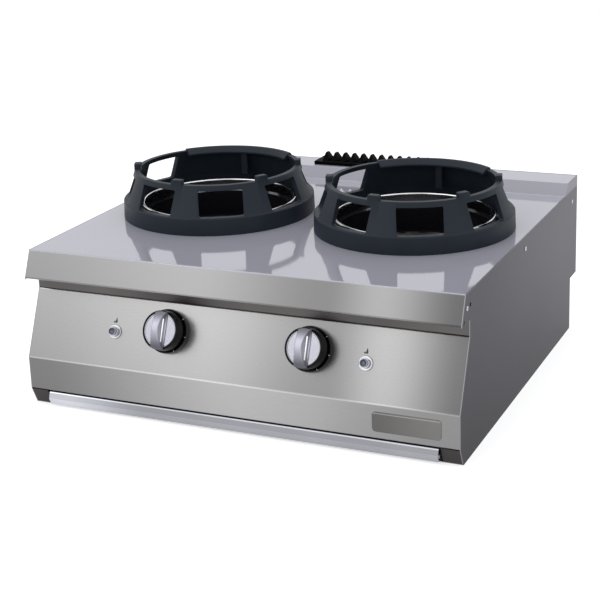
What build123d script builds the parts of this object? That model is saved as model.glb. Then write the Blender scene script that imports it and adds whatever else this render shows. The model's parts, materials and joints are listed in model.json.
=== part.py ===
"""Two-burner counter-top gas wok range: stainless cabinet, cast wok rings, controls and gas train.

Millimetres. X runs to the right along the front, Y to the back, Z up. The origin is the middle
of the cabinet's footprint, on the surface that the cabinet stands on.
"""
from build123d import *
from math import hypot
import os

# ---- cabinet: overall size -------------------------------------------------------------------
WIDTH = 800.0              # across the side panels
DEPTH = 730.0              # from the front strip to the back panel
WORKTOP_Z = 280.0          # height of the working surface
DECK_RISE = 20.0           # rear deck above the working surface
SHEET = 1.5                # worktop and side panels
THIN_SHEET = 1.2           # control panel, back, base and brackets
PANEL_CUT = 5.0            # reach of a cut through a sheet, each way
BEND = 2.0                 # centreline radius of the sharp folds

# ---- cabinet: front profile, set-backs measured from the front strip --------------------------
SILL_SET_BACK = 14.0       # foot of the sloping sill
STRIP_BOTTOM_Z = 31.0      # lower edge of the vertical strip
PANEL_BEND_Z = 90.0        # fold between the strip and the sloping control panel
PANEL_TOP_Z = 204.0        # upper edge of the control panel
PANEL_LEAN = 50.0          # how far the control panel leans back
LIP_BOTTOM_Z = 232.0       # lower edge of the worktop's nose
LIP_SET_BACK = 9.0         # lower edge of the nose
NOSE_TOP_SET_BACK = 30.0   # upper edge of the nose
RETURN_DEPTH = 24.0        # fold at the top of the control panel
STRIP_RETURN = 11.0        # fold under the strip

# ---- cabinet: rear ----------------------------------------------------------------------------
DECK_FLAT = 68.0           # flat top of the rear deck
DECK_SLOPE = 26.0          # run of its sloping front
DECK_FLANGE = 14.0         # fold down inside the back panel
STEP_Z = 103.0             # underside of the upper back
STEP_DEPTH = 45.0          # recess for the gas connection below it
VENT_COUNT = 12
VENT_PITCH = 40.0
VENT_WIDTH = 8.0
VENT_HEIGHT = 60.0
VENT_Z = 190.0

# ---- cabinet: base frame and sill -------------------------------------------------------------
BASE_SHEET = 1.5
BASE_BORDER = 58.0         # width of the frame round the open underside
BASE_CORNER = 10.0
BASE_HOLE_R = 4.5
BASE_HOLE_X = WIDTH / 2 - 26.0     # in from the sides
BASE_HOLE_Y = DEPTH / 2 - 75.0     # in from the front strip and the upper back
SILL_SIDE_GAP = 3.5        # between a sill plate and the tray strip
SILL_PLATE_GAP = 0.5       # below the strip

# ---- side screws, link holes and relief slots, as (set-back, height) ---------------------------
SIDE_SCREWS = ((34.5, 256.0), (DEPTH / 2 - 1.4, 257.0), (DEPTH - 40.0, 257.0))
SIDE_SCREW_R = 4.0
SIDE_SCREW_HEAD = 1.2
SIDE_SCREW_CROSS = (4.6, 0.9)      # cross recess in the head
SIDE_SCREW_CROSS_DEPTH = 0.7
SIDE_SHANK_R = 2.0
SIDE_SHANK = 8.0
LINK_HOLE = (51.8, 257.0)
LINK_HOLE_R = 3.5
RELIEF_SLOT = (21.0, 236.0)
RELIEF_SLOT_LENGTH = 10.0
RELIEF_SLOT_WIDTH = 2.4

# ---- wok stations ------------------------------------------------------------------------------
STATION_Y = 0.0
RING_GAP = 30.0            # between the two wok rings
WORKTOP_HOLE_R = 138.5
WELL_CLEARANCE = 1.0       # well wall inside the worktop hole
WELL_SHEET = 1.2
WELL_FLANGE = 4.5          # well flange beyond its wall
WELL_DEPTH = 68.0          # from the worktop down to the well's floor
WELL_CORNER = 24.0
WELL_OUTLET_R = 80.0
COLLAR_SHEET = 1.2
COLLAR_GAP = 0.3           # collar round the well flange
COLLAR_HEIGHT = 22.0
COLLAR_FLANGE_R = 158.0
COLLAR_BEAD_R = 3.0

# ---- cast wok ring (heights above the worktop) -------------------------------------------------
RING_R = 180.0             # foot
RING_BAND_TOP_R = 179.0
RING_BAND_Z = 30.0
RING_SHOULDER_R = 174.5
RING_SHOULDER_Z = 34.0
RING_RIM_R = 155.0
RING_RIM_Z = 86.0
RING_WALL = 9.5
RING_FOOT_BORE_R = 168.0
RING_LEDGE_Z = 26.0
RING_LEDGE_RISE = 6.0      # slope from the foot's bore to the wall
RING_BACK_Z = 91.0         # raised rear part
RING_BACK_HALF_ANGLE = 45.0
RING_BACK_FOOT = 8.0       # raised part's foot below the rim
RING_LIP = 7.0             # overhang of the raised part inside the wall
RING_LIP_HEIGHT = 12.5
RING_WINDOWS = (-112.5, -67.5, -22.5, 22.5, 67.5, 112.5)
RING_WINDOW_WIDTH = 80.0
RING_WINDOW_Z = (32.0, 77.0)
RING_WINDOW_CORNER = 3.0
RING_LUGS = (-74.0, -7.5, 52.5, 106.0)
RING_LUG_WIDTH = 21.0
RING_LUG_Z = 95.0
RING_LUG_FOOT = 6.0        # lug's foot below the rim
RING_LUG_EDGE = 2.5
RING_LUG_PROUD = 1.0       # lug beyond the wall, inside and outside
RING_RIB_WIDTH = 12.0
RING_RIB_DEPTH = 5.0
RING_TURN = {"left": 6.0, "right": 1.0}   # how each loose ring happens to be turned

# ---- burner ------------------------------------------------------------------------------------
SUPPORT_TOP_Z = 150.0      # cross rail under the burners
SUPPORT_HEIGHT = 30.0
SUPPORT_WIDTH = 70.0
BURNER_FOOT_R = 32.0
BURNER_NECK_R = 23.0
BURNER_RIM_R = 62.0
BURNER_RIM_Z = 222.0
BURNER_WALL = 7.0
BURNER_FOOT = 6.0
BURNER_FLOOR = 9.0
BURNER_TAPER = 4.0         # cup is narrower at the foot of its wall
BURNER_NECK_TOP = 14.0     # these four heights are above the mixer's axis
BURNER_THROAT = 18.0
BURNER_SHOULDER = 30.0
BURNER_CUP_FLOOR = 38.0
MIXER_Z = 172.0
MIXER_R = 19.0
MIXER_BORE_R = 13.0
MIXER_BELL_R = 26.0
MIXER_FRONT_ROOM = 179.0   # from the front strip to the mixer's mouth
MIXER_BELL = 18.0
MIXER_BELL_WALL = 3.0
YOKE_REACH = 24.0          # arms that hold the injector in front of the mixer
YOKE_BAR = 6.0
YOKE_PLATE = 5.0
YOKE_OVERLAP = 4.0
CROWN_HEIGHT = 27.0
CROWN_TOP_R = 44.0
CROWN_SPIGOT = 5.0
CROWN_EDGE = 5.0
CROWN_RIM = 3.0
CROWN_TOP_INSET = 6.0
CROWN_ROOF = 7.0
CROWN_PORT_REACH = 16.0
CROWN_PORT_MARGIN = 13.0
CROWN_PLAY = 0.4
CROWN_PORTS = 28
CROWN_PORT_WIDTH = 3.0
INJECTOR_R = 11.0
INJECTOR_NOSE_R = 4.0
INJECTOR_INLET_R = 7.0
INJECTOR_SHANK_R = 6.0
INJECTOR_NOSE = 8.0
INJECTOR_HEX = 6.0
INJECTOR_LENGTH = 16.0

# ---- pilot, thermocouple and spark electrode ---------------------------------------------------
PILOT_CIRCLE_R = 72.0
PILOT_MIDDLE = 45.0       # direction from the burner, 0 towards the front
PILOT_ANGLES = (-14.0, 0.0, 14.0)
PILOT_ROD_RS = (3.0, 4.0, 2.2)
PILOT_TOPS_Z = (238.0, 228.0, 234.0)
PILOT_FOOT_Z = 186.0
PILOT_PLATE = 2.0
PILOT_PLATE_INSET = 4.0
PILOT_PLATE_OUTER_R = 100.0
PILOT_PLATE_HALF_ANGLE = 22.0

# ---- gas train ---------------------------------------------------------------------------------
RAIL_R = 10.65             # half-inch pipe
RAIL_BEHIND = 60.0         # rail and valve centres behind the control panel
RAIL_UP_PANEL = 18.0
RAIL_BLANK_END = 58.0      # rail beyond the left valve
RAIL_SIDE_ROOM = 80.0      # rail's right leg in from the side
RAIL_BEND_R = 30.0
RAIL_END_ROOM = 24.0       # rail's end in front of the lower back
BOSS_R = 10.0
BOSS_LENGTH = 6.0
INLET_R = 10.48            # half-inch taper thread at its gauge plane
INLET_LENGTH = 16.0
INLET_NUT_AF = 30.0
INLET_NUT = 8.0
INLET_BODY_R = 13.0
INLET_HOLE_R = 11.2
FEED_R = 5.0
FEED_BEND_R = 9.0
FEED_RISE = 22.0
VALVE_R = 14.0
VALVE_FRONT = 14.0         # valve behind the panel's outer face
VALVE_REAR = 76.0
VALVE_TAIL_R = 9.0
VALVE_OUTLET_R = 8.0
VALVE_OUTLET = 12.0
VALVE_EDGE = 3.0
BLIND_END = 1.0            # room beyond a travelling shaft

# ---- knobs (heights above the control panel's outer face) --------------------------------------
KNOB_X = 132.0
KNOB_MIDDLE = 4.5          # middle of the pair, right of the cabinet's middle
KNOB_UP_PANEL = 74.5
KNOB_R = 34.5
KNOB_FACE_R = 33.5
KNOB_FOOT = 7.5
KNOB_FACE = 36.0
KNOB_GROOVE = 17.0         # height of the groove round the skirt
KNOB_GROOVE_DEPTH = 0.8
KNOB_GROOVE_WIDTH = 2.0
KNOB_RECESS = 2.0
KNOB_EDGE = 1.5
DISC_R = 29.6
DISC_PLAY = 0.3
GRIP_TOP = 43.0
GRIP_END_WIDTH = 25.0
GRIP_WAIST = 16.0
GRIP_RIDGE = 9.0
GRIP_BEVEL = 0.8           # share of the bar's height
POINTER_LENGTH = 38.0
POINTER_WIDTH = 2.4
POINTER_PROUD = 0.6
BEZEL_R = 38.0
BEZEL_PLATE = 3.0
BEZEL_RIM_HEIGHT = 11.0
BEZEL_EDGE = 1.0
BEZEL_PLAY = 0.8           # knob inside the bezel's rim
SPINDLE_R = 4.0
SPINDLE_TOP = 30.0
SPINDLE_END = 30.0         # spindle's inner end, behind the panel
SPINDLE_PLAY = 0.05
SPINDLE_HOLE_R = 7.0
KNOB_TRAVEL = 3.0
ROD_R = 2.5
ROD_PLAY = 0.06
ROD_GAP = 0.3
ROD_END = 67.0

# ---- igniter buttons ---------------------------------------------------------------------------
BUTTON_X = 233.0
BUTTON_UP_PANEL = 63.0
BUTTON_R = 6.4
BUTTON_TOP = 12.5
BUTTON_DISH = 1.2
BUTTON_END = 12.0
BUTTON_PLAY = 0.08
BUTTON_TRAVEL = 4.0
BUTTON_EDGE = 0.8
IGNITER_FLANGE_R = 12.5
IGNITER_FLANGE = 2.5
IGNITER_EDGE = 1.2
IGNITER_RIM = 0.6
IGNITER_THREAD = 0.4       # shank below the barrel's radius
IGNITER_BARREL_R = 8.6
IGNITER_BARREL = 8.0
IGNITER_SHANK = 20.0
IGNITER_BODY_R = 11.0
IGNITER_BODY_END = 52.0

# ---- nameplate (blank) -------------------------------------------------------------------------
PLATE_SIDE_ROOM = 90.0     # plate's middle in from the right side
PLATE_WIDTH = 117.0
PLATE_HEIGHT = 34.0
PLATE_THICKNESS = 1.6
PLATE_CORNER = 6.0

# ---- drip tray ---------------------------------------------------------------------------------
TRAY_SIDE_ROOM = 35.5      # between the tray and each side panel
TRAY_REAR_ROOM = 68.8      # behind the tray, to the lower back
TRAY_FLOOR_Z = 3.2
TRAY_TOP_Z = 25.0
TRAY_SHEET = 1.0
TRAY_CORNER = 12.0
TRAY_SET_BACK = 16.2       # front wall of the tray
TRAY_STRIP = 1.2
TRAY_STRIP_TOP_Z = 28.8
TRAY_STRIP_FOOT_Z = 4.4
TRAY_STRIP_WALL_FOOT = 6.0
TRAY_STRIP_BEND = 4.0
TRAY_STRIP_BULGE = 2.0
TRAY_STRIP_CURL = 4.0
RUNNER_GAP = 0.6
RUNNER_LEG = 15.0
RUNNER_TOP_Z = 22.0
RUNNER_END_GAP = 10.0

# ---- flue --------------------------------------------------------------------------------------
FLUE_X = 5.0
FLUE_HOLE = (268.0, 44.0)
FLUE_BACK_MARGIN = 11.0    # hole's rear edge from the back panel
FLUE_DUCT_DROP = 80.0
FLUE_DUCT_FLANGE = 6.0
GRILLE_SIZE = (277.0, 50.0)
GRILLE_FRAME = 7.0
GRILLE_CORNER = 3.0
GRILLE_EDGE = 1.5
GRILLE_SKIRT_PLAY = 1.5
GRILLE_SKIRT_DEPTH = 6.0
GRILLE_SKIRT_WALL = 4.0
FIN_COUNT = 13
FIN_PITCH = 19.6
FIN_FOOT = (12.0, 38.0)
FIN_FOOT_CORNER = 3.0
FIN_CREST = (4.0, 12.0)
FIN_CREST_CORNER = 1.6
FIN_HEIGHT = 15.0

# ---- worked-out places -------------------------------------------------------------------------
FRONT_Y = -DEPTH / 2
BACK_Y = DEPTH / 2
DECK_Z = WORKTOP_Z + DECK_RISE
DECK_TOP_Y = BACK_Y - DECK_FLAT
DECK_FOOT_Y = DECK_TOP_Y - DECK_SLOPE
LOWER_BACK_Y = BACK_Y - STEP_DEPTH
CROSS_Y = FRONT_Y + PANEL_LEAN
INNER_HALF = WIDTH / 2 - SHEET
PANEL_RISE = PANEL_TOP_Z - PANEL_BEND_Z
PANEL_SLANT = hypot(PANEL_LEAN, PANEL_RISE)
UP_PANEL = Vector(0, PANEL_LEAN / PANEL_SLANT, PANEL_RISE / PANEL_SLANT)
OUT_PANEL = Vector(0, -PANEL_RISE / PANEL_SLANT, PANEL_LEAN / PANEL_SLANT)
WELL_R = WORKTOP_HOLE_R - WELL_CLEARANCE
WELL_FLANGE_R = WELL_R + WELL_FLANGE
WELL_FLOOR_Z = WORKTOP_Z - WELL_DEPTH
FLUE_Y = BACK_Y - FLUE_BACK_MARGIN - FLUE_HOLE[1] / 2
TRAY_FRONT_Y = FRONT_Y + TRAY_SET_BACK
TRAY_WIDTH = 2 * (INNER_HALF - TRAY_SIDE_ROOM)
TRAY_LENGTH = LOWER_BACK_Y - TRAY_REAR_ROOM - TRAY_FRONT_Y
SILL_PLATE_WIDTH = TRAY_SIDE_ROOM - SILL_SIDE_GAP
STATION_X = RING_R + RING_GAP / 2
MIXER_LENGTH = STATION_Y - FRONT_Y - MIXER_FRONT_ROOM
RAIL_RIGHT_X = WIDTH / 2 - RAIL_SIDE_ROOM
RAIL_END_Y = LOWER_BACK_Y - RAIL_END_ROOM
PLATE_X = WIDTH / 2 - PLATE_SIDE_ROOM

STATIONS = {"left": -STATION_X, "right": STATION_X}
KNOBS = {"left": KNOB_MIDDLE - KNOB_X, "right": KNOB_MIDDLE + KNOB_X}
BUTTONS = {"left": -BUTTON_X, "right": BUTTON_X}
RAIL_LEFT_X = KNOBS["left"] - RAIL_BLANK_END

NODES = {}


def keep(name, shape):
    """File a finished piece under its node name."""
    NODES[name] = shape
    return shape


# ---- helpers -----------------------------------------------------------------------------------

def shifted_right(points, distance):
    """Shift a path of straight runs to its right-hand side, with mitred corners."""
    runs = [Vector(*b) - Vector(*a) for a, b in zip(points, points[1:])]
    sides = [Vector(run.Y, -run.X).normalized() for run in runs]
    shifted = [Vector(*points[0]) + sides[0] * distance]
    for corner, before, after in zip(points[1:], sides, sides[1:]):
        miter = before + after
        shifted.append(Vector(*corner) + miter * (distance / (1 + before.dot(after))))
    shifted.append(Vector(*points[-1]) + sides[-1] * distance)
    return [(point.X, point.Y) for point in shifted]


def bent_sheet(points, thickness, half_width, bend=BEND):
    """A sheet folded along X. The points (Y, Z) trace its outer face, with the metal on their right."""
    path = FilletPolyline(*shifted_right(points, thickness / 2), radius=bend)
    return extrude(Plane.YZ * trace(path, thickness), amount=half_width, both=True)


def turned(section_points, axis_x=0.0, axis_y=0.0):
    """A body of revolution about a vertical axis, from (radius, height) points."""
    profile = make_face(Polyline(*section_points, close=True))
    return Pos(axis_x, axis_y, 0) * revolve(Plane.XZ * profile, Axis.Z)


def upright(radius, low, high, x=0.0, y=0.0):
    """A vertical cylinder between two heights."""
    return Pos(x, y, low) * extrude(Circle(radius), amount=high - low)


def panel_plane(x, up_panel):
    """A plane on the control panel's outer face: Z out of the panel, Y up its slope."""
    origin = Vector(x, FRONT_Y, PANEL_BEND_Z) + UP_PANEL * up_panel
    return Plane(origin=origin, x_dir=(1, 0, 0), z_dir=OUT_PANEL)


def panel_point(x, up_panel, out):
    """A point given by its place on the control panel and its height above it."""
    return Vector(x, FRONT_Y, PANEL_BEND_Z) + UP_PANEL * up_panel + OUT_PANEL * out


def disc(radius, low, high):
    """A cylinder along a local Z axis."""
    return Pos(0, 0, low) * extrude(Circle(radius), amount=high - low)


# ---- cabinet -----------------------------------------------------------------------------------

def worktop():
    """Nose, working surface, sloping step and rear deck in one folded sheet."""
    outline = [
        (CROSS_Y, LIP_BOTTOM_Z),
        (FRONT_Y + LIP_SET_BACK, LIP_BOTTOM_Z),
        (FRONT_Y + NOSE_TOP_SET_BACK, WORKTOP_Z),
        (DECK_FOOT_Y, WORKTOP_Z),
        (DECK_TOP_Y, DECK_Z),
        (BACK_Y - THIN_SHEET, DECK_Z),
        (BACK_Y - THIN_SHEET, DECK_Z - DECK_FLANGE),
    ]
    sheet = bent_sheet(outline, SHEET, INNER_HALF)
    for x in STATIONS.values():
        sheet -= upright(WORKTOP_HOLE_R, WORKTOP_Z - DECK_RISE, DECK_Z, x, STATION_Y)
    flue_hole = extrude(Rectangle(*FLUE_HOLE), amount=2 * SHEET, both=True)
    return sheet - Pos(FLUE_X, FLUE_Y, DECK_Z) * flue_hole


def side_outline():
    """The cabinet's side elevation as (Y, Z) points."""
    return [
        (FRONT_Y + SILL_SET_BACK, 0),
        (FRONT_Y, STRIP_BOTTOM_Z),
        (FRONT_Y, PANEL_BEND_Z),
        (CROSS_Y, PANEL_TOP_Z),
        (CROSS_Y, LIP_BOTTOM_Z),
        (FRONT_Y + LIP_SET_BACK, LIP_BOTTOM_Z),
        (FRONT_Y + NOSE_TOP_SET_BACK, WORKTOP_Z),
        (DECK_FOOT_Y, WORKTOP_Z),
        (DECK_TOP_Y, DECK_Z),
        (BACK_Y, DECK_Z),
        (BACK_Y, STEP_Z),
        (LOWER_BACK_Y, STEP_Z),
        (LOWER_BACK_Y, 0),
    ]


def side_panel(side):
    """One side sheet with its screw holes, link hole and fold relief slot."""
    face = make_face(Polyline(*side_outline(), close=True))
    for set_back, height in SIDE_SCREWS:
        face -= Pos(FRONT_Y + set_back, height) * Circle(SIDE_SHANK_R)
    face -= Pos(FRONT_Y + LINK_HOLE[0], LINK_HOLE[1]) * Circle(LINK_HOLE_R)
    slot = SlotOverall(RELIEF_SLOT_LENGTH, RELIEF_SLOT_WIDTH, rotation=45)
    face -= Pos(FRONT_Y + RELIEF_SLOT[0], RELIEF_SLOT[1]) * slot
    panel = extrude(Plane.YZ * face, amount=SHEET)
    return Pos(-WIDTH / 2 if side == "left" else INNER_HALF, 0, 0) * panel


def side_screws():
    """Pan-head screws that hold the side panels, as one set."""
    screws = []
    for set_back, height in SIDE_SCREWS:
        head = extrude(Circle(SIDE_SCREW_R), amount=SIDE_SCREW_HEAD)
        head = fillet(head.edges().group_by(Axis.Z)[-1], SIDE_SCREW_HEAD * 0.6)
        for turn in (0, 90):
            arm = Rot(0, 0, turn) * Rectangle(*SIDE_SCREW_CROSS)
            head -= Pos(0, 0, SIDE_SCREW_HEAD) * extrude(arm, amount=-SIDE_SCREW_CROSS_DEPTH)
        shank = Pos(0, 0, -SIDE_SHANK) * extrude(Circle(SIDE_SHANK_R), amount=SIDE_SHANK)
        for x, turn in ((WIDTH / 2, 90), (-WIDTH / 2, -90)):
            screws.append(Pos(x, FRONT_Y + set_back, height) * Rot(0, turn, 0) * (head + shank))
    return Compound(children=screws)


def control_panel():
    """Vertical strip and sloping fascia in one folded sheet, pierced for the controls."""
    outline = [
        (FRONT_Y + STRIP_RETURN, STRIP_BOTTOM_Z),
        (FRONT_Y, STRIP_BOTTOM_Z),
        (FRONT_Y, PANEL_BEND_Z),
        (CROSS_Y, PANEL_TOP_Z),
        (CROSS_Y + RETURN_DEPTH, PANEL_TOP_Z),
    ]
    sheet = bent_sheet(outline, THIN_SHEET, INNER_HALF)
    for x in KNOBS.values():
        sheet -= panel_plane(x, KNOB_UP_PANEL).location * disc(SPINDLE_HOLE_R, -PANEL_CUT, PANEL_CUT)
    for x in BUTTONS.values():
        sheet -= panel_plane(x, BUTTON_UP_PANEL).location * disc(IGNITER_BARREL_R, -PANEL_CUT, PANEL_CUT)
    return sheet


def front_crossmember():
    """Channel behind the dark gap between the control panel and the worktop's nose."""
    outline = [
        (CROSS_Y + RETURN_DEPTH, PANEL_TOP_Z),
        (CROSS_Y, PANEL_TOP_Z),
        (CROSS_Y, WORKTOP_Z - SHEET),
        (CROSS_Y + RETURN_DEPTH, WORKTOP_Z - SHEET),
    ]
    return bent_sheet(outline, THIN_SHEET, INNER_HALF)


def back_panel():
    """Stepped rear sheet with its row of vents and the gas inlet's hole."""
    outline = [
        (BACK_Y, DECK_Z),
        (BACK_Y, STEP_Z),
        (LOWER_BACK_Y, STEP_Z),
        (LOWER_BACK_Y, BASE_SHEET),
    ]
    sheet = bent_sheet(outline, THIN_SHEET, INNER_HALF)
    vent = extrude(SlotOverall(VENT_HEIGHT, VENT_WIDTH, rotation=90), amount=4 * THIN_SHEET, both=True)
    upright_vent = Rot(90, 0, 0) * vent
    for index in range(VENT_COUNT):
        x = (index - (VENT_COUNT - 1) / 2) * VENT_PITCH
        sheet -= Pos(x, BACK_Y, VENT_Z) * upright_vent
    inlet_hole = Rot(90, 0, 0) * extrude(Circle(INLET_HOLE_R), amount=4 * THIN_SHEET, both=True)
    return sheet - Pos(RAIL_RIGHT_X, LOWER_BACK_Y, rail_centre().Z) * inlet_hole


def base_frame():
    """Pressed frame that the cabinet stands on, open in the middle and folded up round the opening."""
    low_y = FRONT_Y + SILL_SET_BACK
    length = LOWER_BACK_Y - low_y
    middle = Pos(0, (low_y + LOWER_BACK_Y) / 2, 0)
    opening = (2 * INNER_HALF - 2 * BASE_BORDER, length - 2 * BASE_BORDER)
    plate = Rectangle(2 * INNER_HALF, length) - RectangleRounded(*opening, BASE_CORNER)
    frame = middle * extrude(plate, amount=BASE_SHEET)
    fold = RectangleRounded(opening[0] + 2 * BASE_SHEET, opening[1] + 2 * BASE_SHEET,
                            BASE_CORNER + BASE_SHEET)
    fold -= RectangleRounded(*opening, BASE_CORNER)
    for x in (-BASE_HOLE_X, BASE_HOLE_X):
        for y in (-BASE_HOLE_Y, BASE_HOLE_Y):
            frame -= upright(BASE_HOLE_R, -1, BASE_SHEET + 1, x, y)
    short_fold = middle * extrude(fold, amount=TRAY_FLOOR_Z - RUNNER_GAP)
    return frame + short_fold


def sill_plates():
    """Sloping plates that close the corners beside the drip tray."""
    slope = SILL_SET_BACK / STRIP_BOTTOM_Z
    foot = (FRONT_Y + SILL_SET_BACK - slope * BASE_SHEET, BASE_SHEET)
    crest_z = STRIP_BOTTOM_Z - SILL_PLATE_GAP
    crest = (FRONT_Y + SILL_SET_BACK - slope * crest_z, crest_z)
    outline = [foot, crest, (crest[0] + THIN_SHEET, crest_z), (foot[0] + THIN_SHEET, BASE_SHEET)]
    plate = extrude(Plane.YZ * make_face(Polyline(*outline, close=True)), amount=SILL_PLATE_WIDTH)
    return Compound(children=[
        Pos(-INNER_HALF, 0, 0) * plate,
        Pos(INNER_HALF - SILL_PLATE_WIDTH, 0, 0) * plate,
    ])


def nameplate():
    """Blank plate on the vertical strip."""
    face = RectangleRounded(PLATE_WIDTH, PLATE_HEIGHT, PLATE_CORNER)
    plate = extrude(face, amount=PLATE_THICKNESS)
    plate = chamfer(plate.edges().group_by(Axis.Z)[-1], PLATE_THICKNESS * 0.45)
    middle_z = (STRIP_BOTTOM_Z + PANEL_BEND_Z) / 2
    return Pos(PLATE_X, FRONT_Y, middle_z) * Rot(90, 0, 0) * plate


# ---- wok stations ------------------------------------------------------------------------------

def well(x):
    """Enamelled well that hangs in the worktop hole round the burner."""
    outer, inner = WELL_R, WELL_R - WELL_SHEET
    top = WORKTOP_Z + WELL_SHEET
    floor = WELL_FLOOR_Z
    section = make_face(
        Polyline(
            (WELL_FLANGE_R, WORKTOP_Z), (WELL_FLANGE_R, top), (inner, top),
            (inner, floor + WELL_SHEET), (WELL_OUTLET_R, floor + WELL_SHEET),
            (WELL_OUTLET_R, floor), (outer, floor), (outer, WORKTOP_Z), close=True,
        )
    )
    inside = section.vertices().sort_by_distance(Vector(inner, floor + WELL_SHEET))[0]
    section = fillet(inside, WELL_CORNER - WELL_SHEET)
    outside = section.vertices().sort_by_distance(Vector(outer, floor))[0]
    section = fillet(outside, WELL_CORNER)
    return Pos(x, STATION_Y, 0) * revolve(Plane.XZ * section, Axis.Z)


def collar(x):
    """Stainless collar round the well, with a rolled bead at its rim."""
    inner = WELL_FLANGE_R + COLLAR_GAP
    outer = inner + COLLAR_SHEET
    top = WORKTOP_Z + COLLAR_HEIGHT
    body = turned(
        [
            (inner, WORKTOP_Z), (COLLAR_FLANGE_R, WORKTOP_Z),
            (COLLAR_FLANGE_R, WORKTOP_Z + COLLAR_SHEET), (outer, WORKTOP_Z + COLLAR_SHEET),
            (outer, top), (inner, top),
        ]
    )
    bead_centre = (inner + outer) / 2
    bead = revolve(Plane.XZ * (Pos(bead_centre, top) * Circle(COLLAR_BEAD_R)), Axis.Z)
    return Pos(x, STATION_Y, 0) * (body + bead)


def ring_wall_r(height):
    """Outer radius of the ring's tapered wall at a height above the worktop."""
    share = (height - RING_SHOULDER_Z) / (RING_RIM_Z - RING_SHOULDER_Z)
    return RING_SHOULDER_R + share * (RING_RIM_R - RING_SHOULDER_R)


def ring_sector(section, middle, half_angle):
    """Revolve a (radius, height) section over part of a turn. Angle 0 faces the front."""
    profile = Plane.XZ * make_face(Polyline(*section, close=True))
    sector = revolve(profile, Axis.Z, revolution_arc=2 * half_angle)
    return Rot(0, 0, middle - half_angle - 90) * sector


def ring_block(angle, width, inner, outer, low, high, corner=0.0):
    """A block that stands across the ring's wall at an angle from the front."""
    size = (outer - inner, width, high - low)
    block = Pos((inner + outer) / 2, 0, (low + high) / 2) * Box(*size)
    if corner:
        block = fillet(block.edges().filter_by(Axis.X), corner)
    return Rot(0, 0, angle - 90) * block


def wok_ring(side):
    """Cast ring that cradles a wok: footed band, tapered wall with windows, lugs, raised back."""
    inner_rim = RING_RIM_R - RING_WALL
    ledge_top = RING_LEDGE_Z + RING_LEDGE_RISE
    inner_ledge = ring_wall_r(ledge_top) - RING_WALL
    ring = turned(
        [
            (RING_R, 0), (RING_BAND_TOP_R, RING_BAND_Z), (RING_SHOULDER_R, RING_SHOULDER_Z),
            (RING_RIM_R, RING_RIM_Z), (inner_rim, RING_RIM_Z), (inner_ledge, ledge_top),
            (RING_FOOT_BORE_R, RING_LEDGE_Z), (RING_FOOT_BORE_R, 0),
        ]
    )
    back_r = ring_wall_r(RING_BACK_Z)
    foot_z = RING_RIM_Z - RING_BACK_FOOT
    foot_r = ring_wall_r(foot_z)
    raised = ring_sector(
        [
            (back_r, RING_BACK_Z), (back_r - RING_WALL * 0.55, RING_BACK_Z),
            (inner_rim - RING_LIP, RING_BACK_Z - RING_LIP_HEIGHT * 0.75),
            (inner_rim - RING_LIP, RING_BACK_Z - RING_LIP_HEIGHT),
            (foot_r - RING_WALL / 2, RING_BACK_Z - RING_LIP_HEIGHT),
            (foot_r, foot_z),
        ],
        180, RING_BACK_HALF_ANGLE,
    )
    ring += raised
    for angle in RING_LUGS:
        lug = ring_block(
            angle, RING_LUG_WIDTH, inner_rim - RING_LUG_PROUD, RING_RIM_R + RING_LUG_PROUD,
            RING_RIM_Z - RING_LUG_FOOT, RING_LUG_Z,
        )
        lug = fillet(lug.edges().group_by(Axis.Z)[-1], RING_LUG_EDGE)
        ring += lug
    rib = ring_block(
        180, RING_RIB_WIDTH, inner_rim - RING_RIB_DEPTH + 1, inner_rim + RING_WALL / 2,
        RING_SHOULDER_Z, RING_BACK_Z - RING_LIP_HEIGHT,
    )
    ring += rib
    for angle in RING_WINDOWS:
        ring -= ring_block(
            angle, RING_WINDOW_WIDTH, inner_rim - 2 * RING_WALL, RING_R + 1,
            *RING_WINDOW_Z, corner=RING_WINDOW_CORNER,
        )
    return Pos(STATIONS[side], STATION_Y, WORKTOP_Z) * Rot(0, 0, RING_TURN[side]) * ring


# ---- burners -----------------------------------------------------------------------------------

def burner_support():
    """Inverted channel across the cabinet that carries both burners."""
    low = SUPPORT_TOP_Z - SUPPORT_HEIGHT
    outline = [
        (-SUPPORT_WIDTH / 2, low),
        (-SUPPORT_WIDTH / 2, SUPPORT_TOP_Z),
        (SUPPORT_WIDTH / 2, SUPPORT_TOP_Z),
        (SUPPORT_WIDTH / 2, low),
    ]
    return Pos(0, STATION_Y, 0) * bent_sheet(outline, SHEET, INNER_HALF)


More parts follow.
